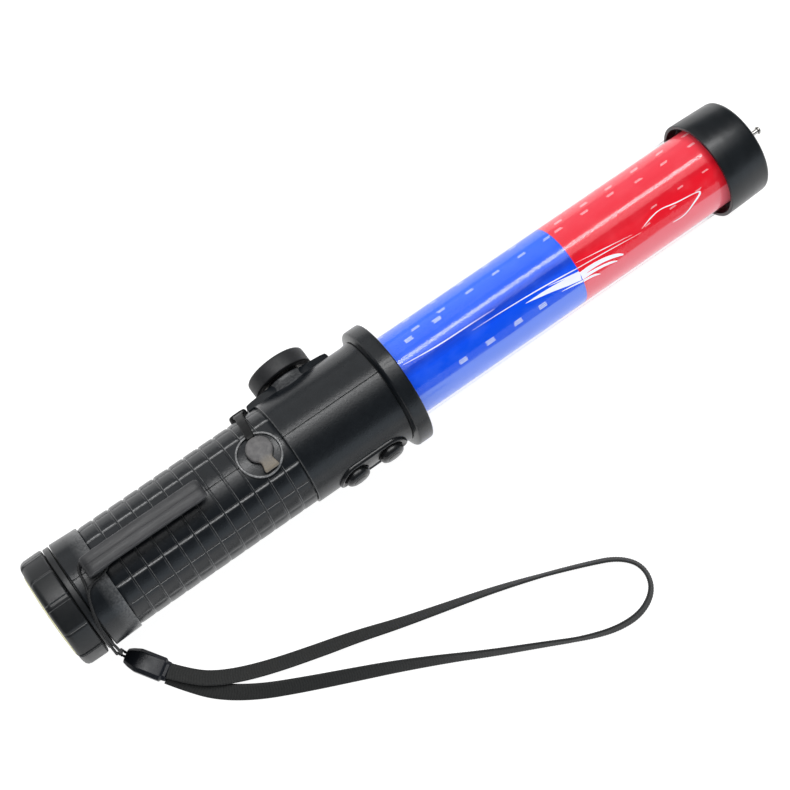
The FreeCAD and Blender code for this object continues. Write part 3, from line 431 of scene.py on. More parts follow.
def area_light(name, at, size, power, colour):
    """A soft panel with its long side along the baton."""
    light = bpy.data.lights.new(name, "AREA")
    light.shape = "RECTANGLE"
    light.size, light.size_y = size
    light.energy = power
    light.color = colour
    lamp = placed(name, light)
    lamp.location = at
    lamp.rotation_mode = "QUATERNION"
    outward = (Vector(at) - Vector(LIGHTS_AIM)).normalized()
    along = (Vector((1, 0, 0)) - outward * outward.x).normalized()
    turned = Matrix((along, outward.cross(along), outward)).transposed()
    lamp.rotation_quaternion = turned.to_quaternion()


def make_studio():
    """A white floor and backdrop, both bright to the camera, under four panels."""
    world = bpy.data.worlds.new("studio")
    world.use_nodes = True
    sky = world.node_tree
    backdrop = sky.nodes["Background"].inputs
    backdrop["Color"].default_value = (1, 1, 1, 1)
    seen = node(sky, "LightPath").outputs["Is Camera Ray"]
    sky.links.new(spread(sky, seen, WORLD_LIGHT, WORLD_SEEN, 0.0, 1.0), backdrop["Strength"])
    scene = bpy.context.scene
    scene.world = world
    scene.view_settings.view_transform = "Standard"
    material, tree, shader, place = blank("floor_white")
    tone = spread(tree, noise(tree, place, 0.01), 0.0, 1.0)
    grey = blend_colours(tree, tone, (0.27, 0.27, 0.27), (0.29, 0.29, 0.29))
    tree.links.new(grey, shader.inputs["Base Color"])
    shader.inputs["Roughness"].default_value = 0.9
    shader.inputs["Emission Color"].default_value = (1, 1, 1, 1)
    shader.inputs["Emission Strength"].default_value = FLOOR_GLOW
    low, high = -FLOOR_HALF, FLOOR_HALF
    mesh = bpy.data.meshes.new("floor")
    mesh.from_pydata(
        [(low, low, 0), (high, low, 0), (high, high, 0), (low, high, 0)], [], [(0, 1, 2, 3)])
    mesh.materials.append(material)
    placed("floor", mesh)
    for light in LIGHTS:
        area_light(*light)


CAMERA_SIDE = (-36.06, 71.35)
CAMERA_LENS, CAMERA_AIM, CAMERA_DISTANCE = 78.4, (-0.0174, -0.0079, 0.0261), 0.701


def make_camera():
    """Looks down on the baton from beyond its tail, as far off as the studio camera was."""
    azimuth, elevation = (math.radians(angle) for angle in CAMERA_SIDE)
    level = math.cos(elevation)
    back = Vector((math.sin(azimuth) * level, -math.cos(azimuth) * level, math.sin(elevation)))
    camera = placed("camera", bpy.data.cameras.new("camera"))
    camera.data.lens = CAMERA_LENS
    camera.data.clip_start = 0.01
    camera.location = Vector(CAMERA_AIM) + back * CAMERA_DISTANCE
    camera.rotation_mode = "QUATERNION"
    camera.rotation_quaternion = back.to_track_quat("Z", "Y")
    bpy.context.scene.camera = camera


# ---- lanyard ----

# Both routes run through these points, in frame metres, as the CAD tubes do.
STRING_ROUTE = [
    (-0.1653, -0.0277, 0.0032), (-0.1665, -0.0259, 0.0039), (-0.1669, -0.0253, 0.0066),
    (-0.1671, -0.0262, 0.0106), (-0.1672, -0.0279, 0.0162), (-0.1671, -0.0281, 0.0228),
    (-0.1671, -0.0277, 0.0296), (-0.1669, -0.0258, 0.0370), (-0.1662, -0.0217, 0.0436),
    (-0.1648, -0.0160, 0.0485), (-0.1627, -0.0104, 0.0509), (-0.1591, -0.0079, 0.0515),
    (-0.1541, -0.0079, 0.0516), (-0.1502, -0.0058, 0.0518), (-0.1502, -0.0006, 0.0520),
    (-0.1537, 0.0020, 0.0522), (-0.1581, 0.0020, 0.0526), (-0.1609, -0.0011, 0.0525),
    (-0.1613, -0.0064, 0.0522), (-0.1632, -0.0118, 0.0503), (-0.1655, -0.0174, 0.0473),
    (-0.1667, -0.0228, 0.0424), (-0.1661, -0.0267, 0.0356), (-0.1656, -0.0284, 0.0280),
    (-0.1655, -0.0288, 0.0204), (-0.1656, -0.0280, 0.0136), (-0.1655, -0.0260, 0.0086),
    (-0.1652, -0.0244, 0.0054), (-0.1649, -0.0249, 0.0032), (-0.1640, -0.0269, 0.0028),
]
RIBBON_ROUTE = [
    (-0.1545, -0.0426, 0.0043), (-0.1497, -0.0486, 0.0043), (-0.1429, -0.0550, 0.0040),
    (-0.1326, -0.0606, 0.0036), (-0.1186, -0.0659, 0.0033), (-0.1010, -0.0712, 0.0033),
    (-0.0854, -0.0756, 0.0034), (-0.0696, -0.0810, 0.0034), (-0.0505, -0.0866, 0.0034),
    (-0.0301, -0.0925, 0.0034), (-0.0098, -0.0996, 0.0034), (0.0077, -0.1066, 0.0034),
    (0.0195, -0.1120, 0.0034), (0.0258, -0.1202, 0.0034), (0.0235, -0.1302, 0.0034),
    (0.0137, -0.1356, 0.0034), (0.0013, -0.1350, 0.0034), (-0.0122, -0.1300, 0.0034),
    (-0.0270, -0.1223, 0.0034), (-0.0456, -0.1129, 0.0034), (-0.0636, -0.1030, 0.0034),
    (-0.0812, -0.0940, 0.0032), (-0.0985, -0.0859, 0.0028), (-0.1153, -0.0780, 0.0024),
    (-0.1309, -0.0700, 0.0020), (-0.1433, -0.0608, 0.0017), (-0.1511, -0.0510, 0.0016),
    (-0.1560, -0.0435, 0.0016),
]
# How far the ribbon is tipped up on its edge, in degrees, at shares of its length.
RIBBON_TILT = [(0, 12), (0.16, 24), (0.24, 44), (0.38, 70), (0.48, 64), (0.60, 88),
               (0.71, 73), (0.80, 48), (0.92, 21), (1, 8)]
STRING_DIAMETER, RIBBON_WIDTH, RIBBON_THICKNESS = 1.2 * MM, 6.7 * MM, 1.1 * MM
TWIST_PITCH, RIB_PITCH = 2.4 * MM, 1.1 * MM


def route_line(name, route, samples):
    """Points along the smooth line of a route, in order, as Blender's spline draws it."""
    curve = bpy.data.curves.new(name + "_route", "CURVE")
    curve.dimensions = "3D"
    spline = curve.splines.new("NURBS")
    spline.points.add(len(route) - 1)
    for point, place in zip(spline.points, route):
        point.co = (*place, 1)
    spline.order_u = 3
    spline.use_endpoint_u = True
    spline.resolution_u = samples
    holder = placed(name + "_route", curve)
    bpy.context.view_layer.update()
    mesh = bpy.data.meshes.new_from_object(holder)
    line = np.array([v.co for v in mesh.vertices])
    bpy.data.objects.remove(holder)
    bpy.data.meshes.remove(mesh)
    return line


def line_frames(line):
    """Heading at each point of a line, and the distance to it from the start."""
    heading = np.gradient(line, axis=0)
    heading /= np.linalg.norm(heading, axis=1, keepdims=True)
    steps = np.linalg.norm(np.diff(line, axis=0), axis=1)
    return heading, np.concatenate([[0], np.cumsum(steps)])


def make_string():
    """Two plies twisted together."""
    line = route_line("lanyard_string", STRING_ROUTE, 24)
    heading, run = line_frames(line)
    side = np.array([0.0, 0.0, 1.0])
    rings = []
    turns = np.radians(np.arange(0, 360, 30))
    for place, forward, distance in zip(line, heading, run):
        side = side - forward * side.dot(forward)
        side /= np.linalg.norm(side)
        other = np.cross(forward, side)
        ply = 2 * (turns - 2 * math.pi * distance / TWIST_PITCH)
        radius = STRING_DIAMETER / 2 * (0.86 + 0.14 * np.cos(ply))
        ring = np.outer(np.cos(turns), side) + np.outer(np.sin(turns), other)
        rings.append(place + radius[:, None] * ring)
    string = mesh_piece(
        "lanyard_string_cord", rings, loft(rings), CORD, "handle", "lanyard_cord",
        ["lanyard_string"], sharp=80)


def make_ribbon():
    """A woven tape that lies flat by its bead and stands on edge round the far loop."""
    line = route_line("lanyard_ribbon", RIBBON_ROUTE, 80)
    heading, run = line_frames(line)
    share = run / run[-1]
    shares, tilts = zip(*RIBBON_TILT)
    tilt = np.radians(np.interp(share, shares, tilts))
    level = np.cross(heading, (0, 0, 1))
    level /= np.linalg.norm(level, axis=1, keepdims=True)
    upward = np.cross(level, heading)
    across = level * np.cos(tilt)[:, None] + upward * np.sin(tilt)[:, None]
    face = np.cross(across, heading)
    outline = [
        (-0.5, 0.0), (-0.485, 0.3), (-0.44, 0.47), (-0.3, 0.46), (-0.15, 0.5), (0.0, 0.47),
        (0.15, 0.5), (0.3, 0.46), (0.44, 0.47), (0.485, 0.3)]
    outline += [(-a, -b) for a, b in outline]
    slant = 7.0 * np.abs([a for a, _ in outline])
    rib = 0.5 + 0.5 * np.cos(2 * math.pi * run[:, None] / RIB_PITCH - slant)
    rings = []
    for index, place in enumerate(line):
        thick = RIBBON_THICKNESS * (0.80 + 0.20 * rib[index])
        rings.append([place + across[index] * a * RIBBON_WIDTH + face[index] * b * high
                      for (a, b), high in zip(outline, thick)])
    ribbon = mesh_piece(
        "lanyard_woven_ribbon", rings, loft(rings), WEAVE, "handle", "lanyard_ribbon",
        ["lanyard_ribbon"], sharp=70)
    # The crests of the ribs take the weave's lighter colour.
    mark_wear_and_highlight(ribbon, rib)


# ---- handle ----

TILE_ROWS = (28.0, 52.8, 77.6, 102.4, 127.2, 152.0)
GROOVE_DEPTH, GROOVE_HALF, GROOVE_BEVEL = 0.50, 0.17, 0.36
CHAMFER_DEPTH, CHAMFER_WIDTH = 0.50, 1.0
SEAM_DEPTH, SEAM_HALF, SEAM_BEVEL = 0.42, 0.12, 0.16
LINING_RADIUS, OUTSIDE_RADIUS = 20.6, 21.9
# Stations of the two rims that carry a painted highlight, and where the seam fades into the
# flange.
GRIP_RIM, HEAD_RIM, SEAM_END = 26.15, 111.6, 156.8
# Openings under other pieces: station, angle, radius and how far in the shell steps there.
WELLS = [(x, -90.0, 6.9, 19.0) for x in BUTTONS.values()]
WELLS += [(PORT_X, 0.0, 8.3, 21.8), (PORT_X, 0.0, 4.6, 18.6)]


def filled(values, gap):
    """Sorted values with others between them, so that none are further apart than a gap."""
    values = sorted(set(np.round(values, 4)))
    out = []
    for low, high in zip(values, values[1:]):
        parts = max(1, math.ceil((high - low) / gap))
        out += [low + (high - low) * k / parts for k in range(parts)]
    return np.array(out + [values[-1]])


def shell_angles():
    """Angles round the shell, close together at its grooves, seams and buttons."""
    across = math.degrees(1 / GRIP_RADIUS)
    near = np.array([-1, -0.66, -0.33, 0, 0.33, 0.66, 1])
    groove = np.concatenate([near * GROOVE_BEVEL + side * (GROOVE_HALF + GROOVE_BEVEL / 2)
                             for side in (-1, 1)]) * across * 0.75
    seam = np.array([-1, -0.5, 0, 0.5, 1]) * (SEAM_HALF + SEAM_BEVEL) * across
    angles = [-180.0, 180.0]
    for row in TILE_ROWS:
        angles += list(row + groove) + list(-row + groove)
    chamfer_end = TILE_ROWS[0] + CHAMFER_WIDTH * across
    angles += [s * a for s in (-1, 1) for a in (chamfer_end, 180 - chamfer_end)]
    for at in (-180, 0, 180):
        angles += [a for a in at + seam if -180 <= a <= 180]
    angles += list(np.arange(-112, -68, 1.6))
    return filled(angles, 3.2)[:-1]


def shell_stations():
    """The shell's outline as (station, radius) from its tail round its flange and back inside."""
    near = np.array([0.17, 0.34, 0.53, 0.75, 1.1, 1.6])
    grooves = [GRID_START + GRID_PITCH * k for k in range(1, GRID_COUNT)]
    grip = [GRID_START + 0.05, GRID_START + GRID_PITCH * GRID_COUNT - 0.2]
    for groove in grooves:
        grip += list(groove + near) + list(groove - near)
    outline = [(14, LINING_RADIUS), (14, 23.6, 0.5), (20, 23.38), (26.3, 23.15, 0.35),
               (26.34, 22.3, 0.1)]
    outline += [(x, GRIP_RADIUS) for x in filled(grip, 1.3)]
    outline += [(111.42, 22), (111.5, HEAD_RADIUS, 0.45)]
    outline += [(x, HEAD_RADIUS) for x in np.arange(112.6, 153.6, 0.9)]
    outline += [
        (154.6, 23.3), (156.6, 23.75), (156.75, 23.3), (157, 23.3), (157.1, 24.6, 0.1),
        (157.9, 27, 0.35), (158.5, FLANGE_RADIUS, 0.3), (162, 27.42),
        (164.7, FLANGE_RADIUS, 0.7), (164.7, 23.5), (164.7, 19.35, 0.25), (154, 19.3),
        (154, 18), (151, 18), (151, LINING_RADIUS)]
    outline += [(x, LINING_RADIUS) for x in np.arange(150, 93, -1)]
    return outline


def tile_grooves(x, angle):
    """How much of a groove, a chamfer, a tile's rounded border and a lit edge each point is in."""
    along = (x - GRID_START + GRID_PITCH / 2) % GRID_PITCH - GRID_PITCH / 2
    ring = falloff(np.abs(along), GROOVE_HALF, GROOVE_BEVEL)
    # The lit edge is a painted highlight, stronger on the groove's side nearer the head.
    edge = 4 * ring * (1 - ring) * np.where(along > 0, 0.75, 0.2)
    deep, border = ring, np.clip(1 - (np.abs(along) - 0.5) / 1.2, 0, 1)
    millimetres = math.radians(1) * GRIP_RADIUS
    for row in TILE_ROWS:
        away = np.abs(np.abs(angle) - row) * millimetres
        line = falloff(away, GROOVE_HALF * 0.8, GROOVE_BEVEL)
        edge = np.maximum(edge, 4 * line * (1 - line) * 0.28 * (1 - ring))
        deep = np.maximum(deep, line)
        border = np.maximum(border, np.clip(1 - (away - 0.5) / 1.2, 0, 1))
    # the wide panels at the top and the bottom have chamfered neighbours
    side = 90 - np.abs(90 - np.abs(angle))
    past = (side - TILE_ROWS[0]) * millimetres
    chamfer = np.clip(1 - past / CHAMFER_WIDTH, 0, 1) * (past > -GROOVE_HALF) * (1 - ring)
    # the grooves run out towards the side with the buttons
    deep = deep * (1 - 0.6 * np.clip((side - 62) / 14, 0, 1) * (angle < 0))
    return deep, chamfer, border ** 2 * 0.12, edge


def make_shell():
    """Both half shells as one skin, with their tiles, seams and openings cut into it."""
    marks = {}

    def shape(x, radius, angle):
        outside = radius > OUTSIDE_RADIUS
        grip = outside & (x > GRID_START + 0.04) & (x < GRID_START + GRID_PITCH * GRID_COUNT - 0.1)
        grip &= radius < HEAD_RADIUS - 0.5
        deep, chamfer, border, edge = (part * grip for part in tile_grooves(x, angle))
        off_seam = np.minimum(np.abs(angle), 180 - np.abs(angle)) * math.radians(1) * radius
        seam = falloff(off_seam, SEAM_HALF, SEAM_BEVEL) * outside * np.where(x > SEAM_END, 0.06, 1)
        made = radius - np.maximum(GROOVE_DEPTH * deep, border) - CHAMFER_DEPTH * chamfer
        made = made - SEAM_DEPTH * seam
        lining = np.abs(radius - LINING_RADIUS) < 0.1
        for at, side, reach, floor in WELLS:
            away = np.hypot(x - at, np.radians(angle - side) * radius)
            made = np.where((away < reach) & outside, floor, made)
            made = np.where((away < reach + 0.6) & lining, np.minimum(made, floor - 0.5), made)
        # Painted highlights in the shell's lighter colour: along the lit edge of each groove, over
        # the chamfers and round the two rims.
        rims = 0.35 * (np.abs(x - GRIP_RIM) < 0.2) + 0.3 * (np.abs(x - HEAD_RIM) < 0.16)
        marks["wear"] = np.clip(np.maximum(edge, 0.9 * np.sqrt(chamfer)) + rims * outside, 0, 1)
        return made

    shell = lathe(
        "handle_shell", shell_stations(), SHELL, "handle", "shell_plastic",
        ["handle_shell_magnet_side", "handle_shell_button_side"], angles=shell_angles(),
        shape=shape, sharp=50)
    mark_wear_and_highlight(shell, marks["wear"])


# ---- tail cap, lens and collar ----

CAP_RADIUS, CAP_OUTSIDE, CAP_STEP_ANGLE, CAP_STEP_PITCH = 24.0, 22.6, -9.0, 60


def make_tail():
    """The stepped end ring, its lens and the collar behind it."""
    marks = {}

    def shape(x, radius, angle):
        outside = radius > CAP_OUTSIDE
        local = (angle - CAP_STEP_ANGLE + CAP_STEP_PITCH / 2) % CAP_STEP_PITCH - CAP_STEP_PITCH / 2
        off_step = np.abs(local) * math.radians(1) * radius
        step = falloff(off_step, 1, 0.45)
        flat = (1 / np.cos(np.radians(np.abs(np.abs(local) - 15))) - 1) * CAP_RADIUS
        ridge = falloff((CAP_STEP_PITCH / 2 - np.abs(local)) * math.radians(1) * radius, 0.16, 0.3)
        lower = 0.30 - 0.45 * flat + 0.75 * step + 0.34 * ridge
        # The step edges and facet ridges take the cap's lighter colour as a painted highlight.
        marks["wear"] = (2.4 * step * (1 - step) + 0.35 * ridge) * outside
        return radius - np.where(outside, np.clip(lower, 0, None), 0)

    angles = [-180, 180]
    for step in (CAP_STEP_ANGLE + CAP_STEP_PITCH * k for k in range(-3, 4)):
        angles += list(np.arange(step - 4.2, step + 4.3, 0.6))
        angles += list(step + CAP_STEP_PITCH / 2 + np.arange(-1.2, 1.3, 0.4))
    angles = [a for a in angles if -180 <= a <= 180]
    outline = [
        (0.15, 18.9, 0.3), (0, 20.2), (0.02, 21.7), (0.4, 22.8), (1.2, 23.6), (2.6, 24),
        (8.2, 24.05), (10.4, 24, 0.9), (10.4, 21.3, 0.2), (9.4, 21.3), (9.4, 20.2), (1.3, 20.2),
        (1.3, 18.9, 0.2)]
    ring = lathe("tail_cap_ring", outline, CAP, "tail_cap", "shell_plastic", ["tail_cap"],
                 angles=filled(angles, 2.4)[:-1], shape=shape, sharp=44)
    mark_wear_and_highlight(ring, marks["wear"])
    outline = [
        (0, 1.15), (9, 1.05), (15, 0.85), (18.6, 0.6, 0.4), (18.7, -1.3), (19.9, -1.35),
        (19.9, -2.6), (0, -2.6)]
    disc_piece("tail_lens", outline, (0, 0, 0), (-1, 0, 0), LENS, "tail_cap", "clear_lens",
               ["torch_lens"], sides=96)
    outline = [
        (6.9, 18.7), (6.9, 20, 0.2), (10.9, 20, 0.1), (10.9, 23.3, 0.45), (13.5, 23.3, 0.45),
        (13.5, 20.5, 0.1), (20.6, 20.5), (20.6, 18.7)]
    lathe("tail_collar_ring", outline, CAP, "handle", "shell_plastic", ["tail_collar"])


# ---- belt clip ----

CLIP_START, CLIP_END, CLIP_HALF = 20.2, 74.2, 4.2


def make_clip():
    """The clip's arm, with a painted highlight along its edges, and its neck."""
    top = [
        (CLIP_START, 27.6), (20.35, 28.9), (20.9, 29.9), (21.9, 30.55), (23.4, 30.95),
        (26.4, 31.2), (48, 31.25), (70.6, 31.2), (72.6, 30.95), (73.7, 30.4), (CLIP_END, 29.5)]
    under = [(CLIP_START, 26.7), (26.6, 26.7), (27.6, 27.1), (30.2, 28.2), (66, 28.25),
             (70, 27.8), (73.2, 28.1), (CLIP_END, 29)]
    stations = filled([x for x, _ in top] + [x for x, _ in under] + [20.5, 74], 2.2)
    rings, wear = [], []
    for x in stations:
        high = np.interp(x, *zip(*top))
        low = min(np.interp(x, *zip(*under)), high - 0.6)
        end = min((x - CLIP_START) / 1.2, (CLIP_END - x) / 1.6, 1)
        half = CLIP_HALF - 0.7 * (1 - end) ** 2
        bevel = min(0.75, (high - low) * 0.35)
        right = [
            (half - 0.2, low), (half, low + 0.4), (half, high - bevel),
            (half - 0.22, high - 0.42 * bevel), (half - 0.85, high - 0.06), (0.28, high + 0.05)]
        *left, first = [(-y, z) for y, z in reversed(right)]
        rings.append([(x, y, z) for y, z in [first, *right, (0, high - 0.04), *left]])
        # The arm's upper edges and ends take the clip's lighter colour as a painted highlight.
        edge = 1.0 if end < 1 else 0.35
        wear += [0, 0, 0, edge, 1, 0.4, 0, 0.3, 0, 0.4, 1, edge, 0]
    clip = lofted(
        "belt_clip_arm", rings, CLIP, "belt_clip", "clip_plastic", ["belt_clip"], sharp=32)
    mark_wear_and_highlight(clip, np.array(wear) * 0.7)
    # The neck that springs: it goes down into the foot, so the lifted arm stays joined to it.
    neck = [[(x, y, z) for y, z in ((-half, 25.6), (half, 25.6), (half, 26.9), (-half, 26.9))]
            for x, half in ((21.6, 2.5), (22, 2.8), (25.4, 2.8), (25.8, 2.5))]
    lofted("belt_clip_neck", neck, CLIP, "belt_clip", "clip_plastic")


# ---- pieces that stand on the handle's side ----

def on_side(x, aside, radius, angle):
    """Points by station, sideways distance and radius, on the side that an angle faces."""
    turn = math.radians(angle)
    height = np.sqrt(np.maximum(np.square(radius) - np.square(aside), 0))
    y = height * math.sin(turn) + np.asarray(aside) * math.cos(turn)
    z = height * math.cos(turn) - np.asarray(aside) * math.sin(turn)
    return np.stack(np.broadcast_arrays(x, y, z), -1)


def oblong_ring(reach, straight, sides=64):
    """A round-ended outline: (along, aside) at a reach from a straight line."""
    turn = np.radians((np.arange(sides) + 0.5) * 360 / sides)
    along = reach * np.cos(turn)
    return along + np.sign(along) * straight, reach * np.sin(turn)


def raised(name, x, angle, straight, outline, *part, hollow=True, sides=64):
    """A round or oblong piece on the handle's side from a (reach, radius) outline."""
    rings = []
    for reach, radius in softened(outline):
        along, aside = oblong_ring(max(reach, 0.01), straight, sides)
        rings.append(on_side(x + along, aside, radius, angle))
    return lofted(name, rings, *part, closed=hollow)


def make_port():
    """The port's ring, its plug with the pull tab, and what holds the plug."""
    outline = [
        (9.5, 21.6), (9.5, 23.3, 0.3), (9, 23.45, 0.2), (8.6, 23.3, 0.3), (8.5, 22.5, 0.15),
        (3.5, 22.5, 0.2), (3.5, 18.6), (9.4, 18.6)]
    ring = raised("port_ring", PORT_X, 0, 0, outline, SHELL, "handle", "shell_plastic",
                  ["charge_port_surround"], sides=96)
    # The ring's top rim takes the shell's lighter colour as a painted highlight.
    heights = [math.hypot(v.co.y - ORIGIN.y, v.co.z - ORIGIN.z) / MM for v in ring.data.vertices]
    mark_wear_and_highlight(ring, 0.8 * (np.array(heights) > 23.25))
    # the plug's outline: half width at each distance from its hinge side to its tab's end
    head = [(-5.499, 0.4), (-5.2, 1.8), (-4.4, 3.3), (-3, 4.6), (-1.4, 5.32), (0.4, 5.48),
            (2, 5.1), (3.3, 4.3), (4.2, 3.35), (4.9, 2.75), (5.7, 2.6), (6.8, 2.75),
            (8, 3.1), (8.9, 3.2), (9.3, 2.95), (9.4, 2.3)]
    outline = [(w, PLUG_Y - s) for s, w in head] + [(-w, PLUG_Y - s) for s, w in reversed(head)]
    outline = np.array(outline)
    centre = np.array([0, PLUG_Y - 1])
    layers = [(0.93, 22.95), (1, 23.2), (1, 24.15), (0.965, 24.45), (0.88, 24.6),
              (0.55, 24.62), (0.2, 24.64)]
    rings, wear = [], []
    for grow, height in layers:
        for across, y in centre + (outline - centre) * grow:
            lower = 0.35 * max(0, -y - 2) / 4.8
            rings.append((PLUG_X + across, y, height - (lower if height > 23.5 else 0)))
            wear.append(np.clip((-y - 2.6) / 2.6, 0, 1) * (height > 24))
    rings = np.reshape(rings, (len(layers), -1, 3))
    plug = lofted(
        "port_plug_cap", rings, PLUG_RUBBER, "port_plug", "black_rubber", ["port_plug"], sharp=45)
    mark_wear_and_highlight(plug, wear)
    outline = [(0, 0), (2.6, 0, 0.3), (2.9, 1, 0.3), (2.9, 2.1), (0, 2.1)]
    disc_piece("port_plug_nose", outline, (PLUG_X, PLUG_Y, 21), (0, 0, 1), STRAP_RUBBER,
               "port_plug", "black_rubber", sides=32)
    make_strap()
    outline = [(0, 25.3), (2.6, 25.3, 0.5), (3.1, 24.6, 0.3), (3.3, 22), (0, 22)]
    raised("port_strap_anchor", PLUG_X + STRAP_SKEW, 83, 0.9, outline, STRAP_RUBBER, "handle",
           "black_rubber", hollow=False, sides=40)


STRAP_START = 17.6


def make_strap():
    """The plug's strap: a flat band round the handle, thicker where it meets the plug."""
    angles = np.concatenate([[STRAP_START, 18.2, 19.5, 21.5], np.arange(24, 80.1, 2.0)])
    rings = []
    for angle in angles:
        start = np.clip((angle - STRAP_START) / 2.0, 0, 1)
        half = 1.5 + 0.35 * start + 0.75 * np.clip((angle - 60) / 16, 0, 1)
        outer = 24.15 + 0.35 * start
        section = [(-half, 23.5), (-half, outer - 0.35), (-half + 0.35, outer),
                   (half - 0.35, outer), (half, outer - 0.35), (half, 23.5)]
        middle = PLUG_X + STRAP_SKEW * (angle - STRAP_START) / 60
        rings.append([around(middle + across, radius, angle) for across, radius in section])
    lofted("port_strap_band", rings, STRAP_RUBBER, "handle", "black_rubber", ["port_strap"],
           sharp=30)


def make_buttons():
    """The oblong frame and the two domes in it."""
    straight, reach, foot, hole = 8.1, 8.3, 21.4, 5.85
    outline = [
        (reach, foot), (reach, 23.8, 0.3), (7.95, 24.35, 0.25), (7.45, 24.4, 0.2),
        (6.9, 23.9, 0.2), (6.55, 23.45), (6.55, foot)]
    raised("button_bezel_rim", BUTTON_MIDDLE, -90, straight, outline, BUTTON, "handle",
           "shell_plastic", ["button_bezel"], sides=96)
    # the plate inside the rim, in two halves, each with its button's hole
    rings, faces = [], []
    turn = np.radians(np.arange(0, 360, 5))
    along, aside = np.cos(turn), np.sin(turn)
    for x in BUTTONS.values():
        inward = math.copysign(1, BUTTON_MIDDLE - x)
        to_middle = abs(BUTTON_MIDDLE - x)
        outer = oblong_reach(turn, 6.8, straight - to_middle)
        outer = np.where(along > 0, np.minimum(outer, to_middle / np.maximum(along, 1e-6)), outer)
        for share, level in ((0, foot), (0, 23.3), (0.06, 23.5), (1, 23.55), (1, foot)):
            distance = hole + (outer - hole) * share
            rings.append(on_side(x + distance * along * inward, distance * aside, level, -90))
    count = len(rings) // 2
    for half in (0, 1):
        faces += loft(rings[:count], closed=True, first=half * count * len(turn))
    mesh_piece("button_bezel_plate", to_frame(rings), faces, BUTTON, "handle", "shell_plastic")
    outline = [
        (0, 26.9), (1.6, 26.86), (3, 26.62, 0.3), (3.3, 26.35, 0.15), (3.7, 26.45, 0.3),
        (4.9, 25.9, 0.6), (5.5, 24.7, 0.6), (5.5, 20.2), (0, 20.2)]
    for name, x in BUTTONS.items():
        disc_piece(name + "_dome", outline, (x, 0, 0), (0, -1, 0), BUTTON, name, "button_rubber",
                   [name])


def oblong_reach(turn, reach, offset):
    """How far a bar's edge is from a point whose round end's centre is an offset further out."""
    outward = -np.cos(turn)
    side = reach / np.maximum(np.abs(np.sin(turn)), 1e-6)
    part = offset * outward
    end = part + np.sqrt(np.maximum(part ** 2 + reach ** 2 - offset ** 2, 0))
    return np.where(side * outward > offset, end, side)


def make_magnet_foot():
    """The boat-shaped saddle, the boss on it and the magnet's rubber boot."""
    stations = [-19.8, -19.6, -19.2, -17, -14, -11.5, -9.5, -7, -3.5, 0]
    stations += [-s for s in reversed(stations[:-1])]
    rings = []
    for s in stations:
        away = abs(s)
        half = np.interp(away, [0, 6, 9.5, 11.5, 14, 19.8], [7.6, 7.4, 7, 6.5, 5.8, 4.2])
        spread_out = np.interp(away, [0, 9, 12, 19.8], [1.4, 1.3, 1.1, 0.7])
        top = np.interp(away, [0, 17, 19.2, 19.6, 19.8], [25.2, 25.2, 25, 24.6, 23.9])
        section = []
        for share, level in ((1, 0), (0.62, 0.30), (0.25, 0.72), (0.06, 0.95), (-0.06, 1)):
            aside = half + spread_out * share
            foot = math.sqrt(max(23.1 ** 2 - aside ** 2, 1))
            section.append((aside, foot + (top - foot) * level))
        section += [(-aside, y) for aside, y in reversed(section)]
        section += [(-half * 0.8, 20.4), (half * 0.8, 20.4)]
        rings.append([(MAGNET_X + s, y, z) for z, y in section])
    lofted("magnet_saddle_plate", rings, SHELL, "handle", "shell_plastic", ["magnet_saddle"],
           sharp=42)
    outline = [
        (0, 25.5), (9.9, 25.5, 0.6), (9.8, 24), (10.1, 22.6), (11, 21.2), (12.6, 19), (0, 19)]
    boss = disc_piece("magnet_boss", outline, (MAGNET_X, 0, 0), (0, 1, 0), SHELL, "handle",
                      "shell_plastic", sides=64)
    # The whole boss takes some of the shell's lighter colour: a painted sheen for the light it
    # catches.
    mark_wear_and_highlight(boss, np.full(len(boss.data.vertices), 0.22))
    outline = [(0, 27), (7.8, 27), (8, 25.9), (8.6, 25.2), (9.4, 24.9), (0, 24.9)]
    disc_piece("magnet_neck", outline, (MAGNET_X, 0, 0), (0, 1, 0), SHELL, "handle",
               "shell_plastic")
    outline = [
        (0, 33.38), (7, 33.4), (10.9, 33.35), (13.3, 33.4, 1.7), (13.4, 30.4), (13.32, 28),
        (13.4, 26.5, 0.6), (12.2, 26.5, 0.3), (9, 26.75), (0, 26.75)]
    disc_piece("magnet_boot", outline, (MAGNET_X, 0, 0), (0, 1, 0), RUBBER, "handle",
               "black_rubber", ["magnet_cover"], sides=96)


# ---- light tube ----

FILMS = {"blue": (156.0, FILM_JOINT), "red": (FILM_JOINT, 331.0)}


def make_films():
    """The two coloured sheets, a little uneven, rolled up inside the tube."""
    for colour, (start, end) in FILMS.items():
        def shape(x, radius, angle):
            turn = np.radians(angle)
            ripple = (np.sin(3 * turn + x * 0.05) * np.sin(x * 0.11 + 2 * turn)
                      + 0.6 * np.sin(9 * turn - x * 0.21) * np.sin(x * 0.043 + 1.3))
            return radius + 0.03 * ripple * np.sin(np.pi * np.clip((x - start) / 6, 0, 0.5))

        count = math.ceil((end - start) / 2.5)
        steps = [start + (end - start) * k / count for k in range(count + 1)]
        outline = [(x, 18.05) for x in steps] + [(x, 17.95) for x in reversed(steps)]
        lathe("film_%s_sheet" % colour, outline, FILM[colour], "handle", colour + "_film",
              ["film_" + colour], angles=np.arange(0, 360, 2), shape=shape)


DASH_PITCH = 13.5
# How many lines a dash has, and how much of their share of its width they fill.
DASH_LINES = ((0.7, 1, 0.8), (1.5, 2, 0.48), (9.0, 3, 0.6))
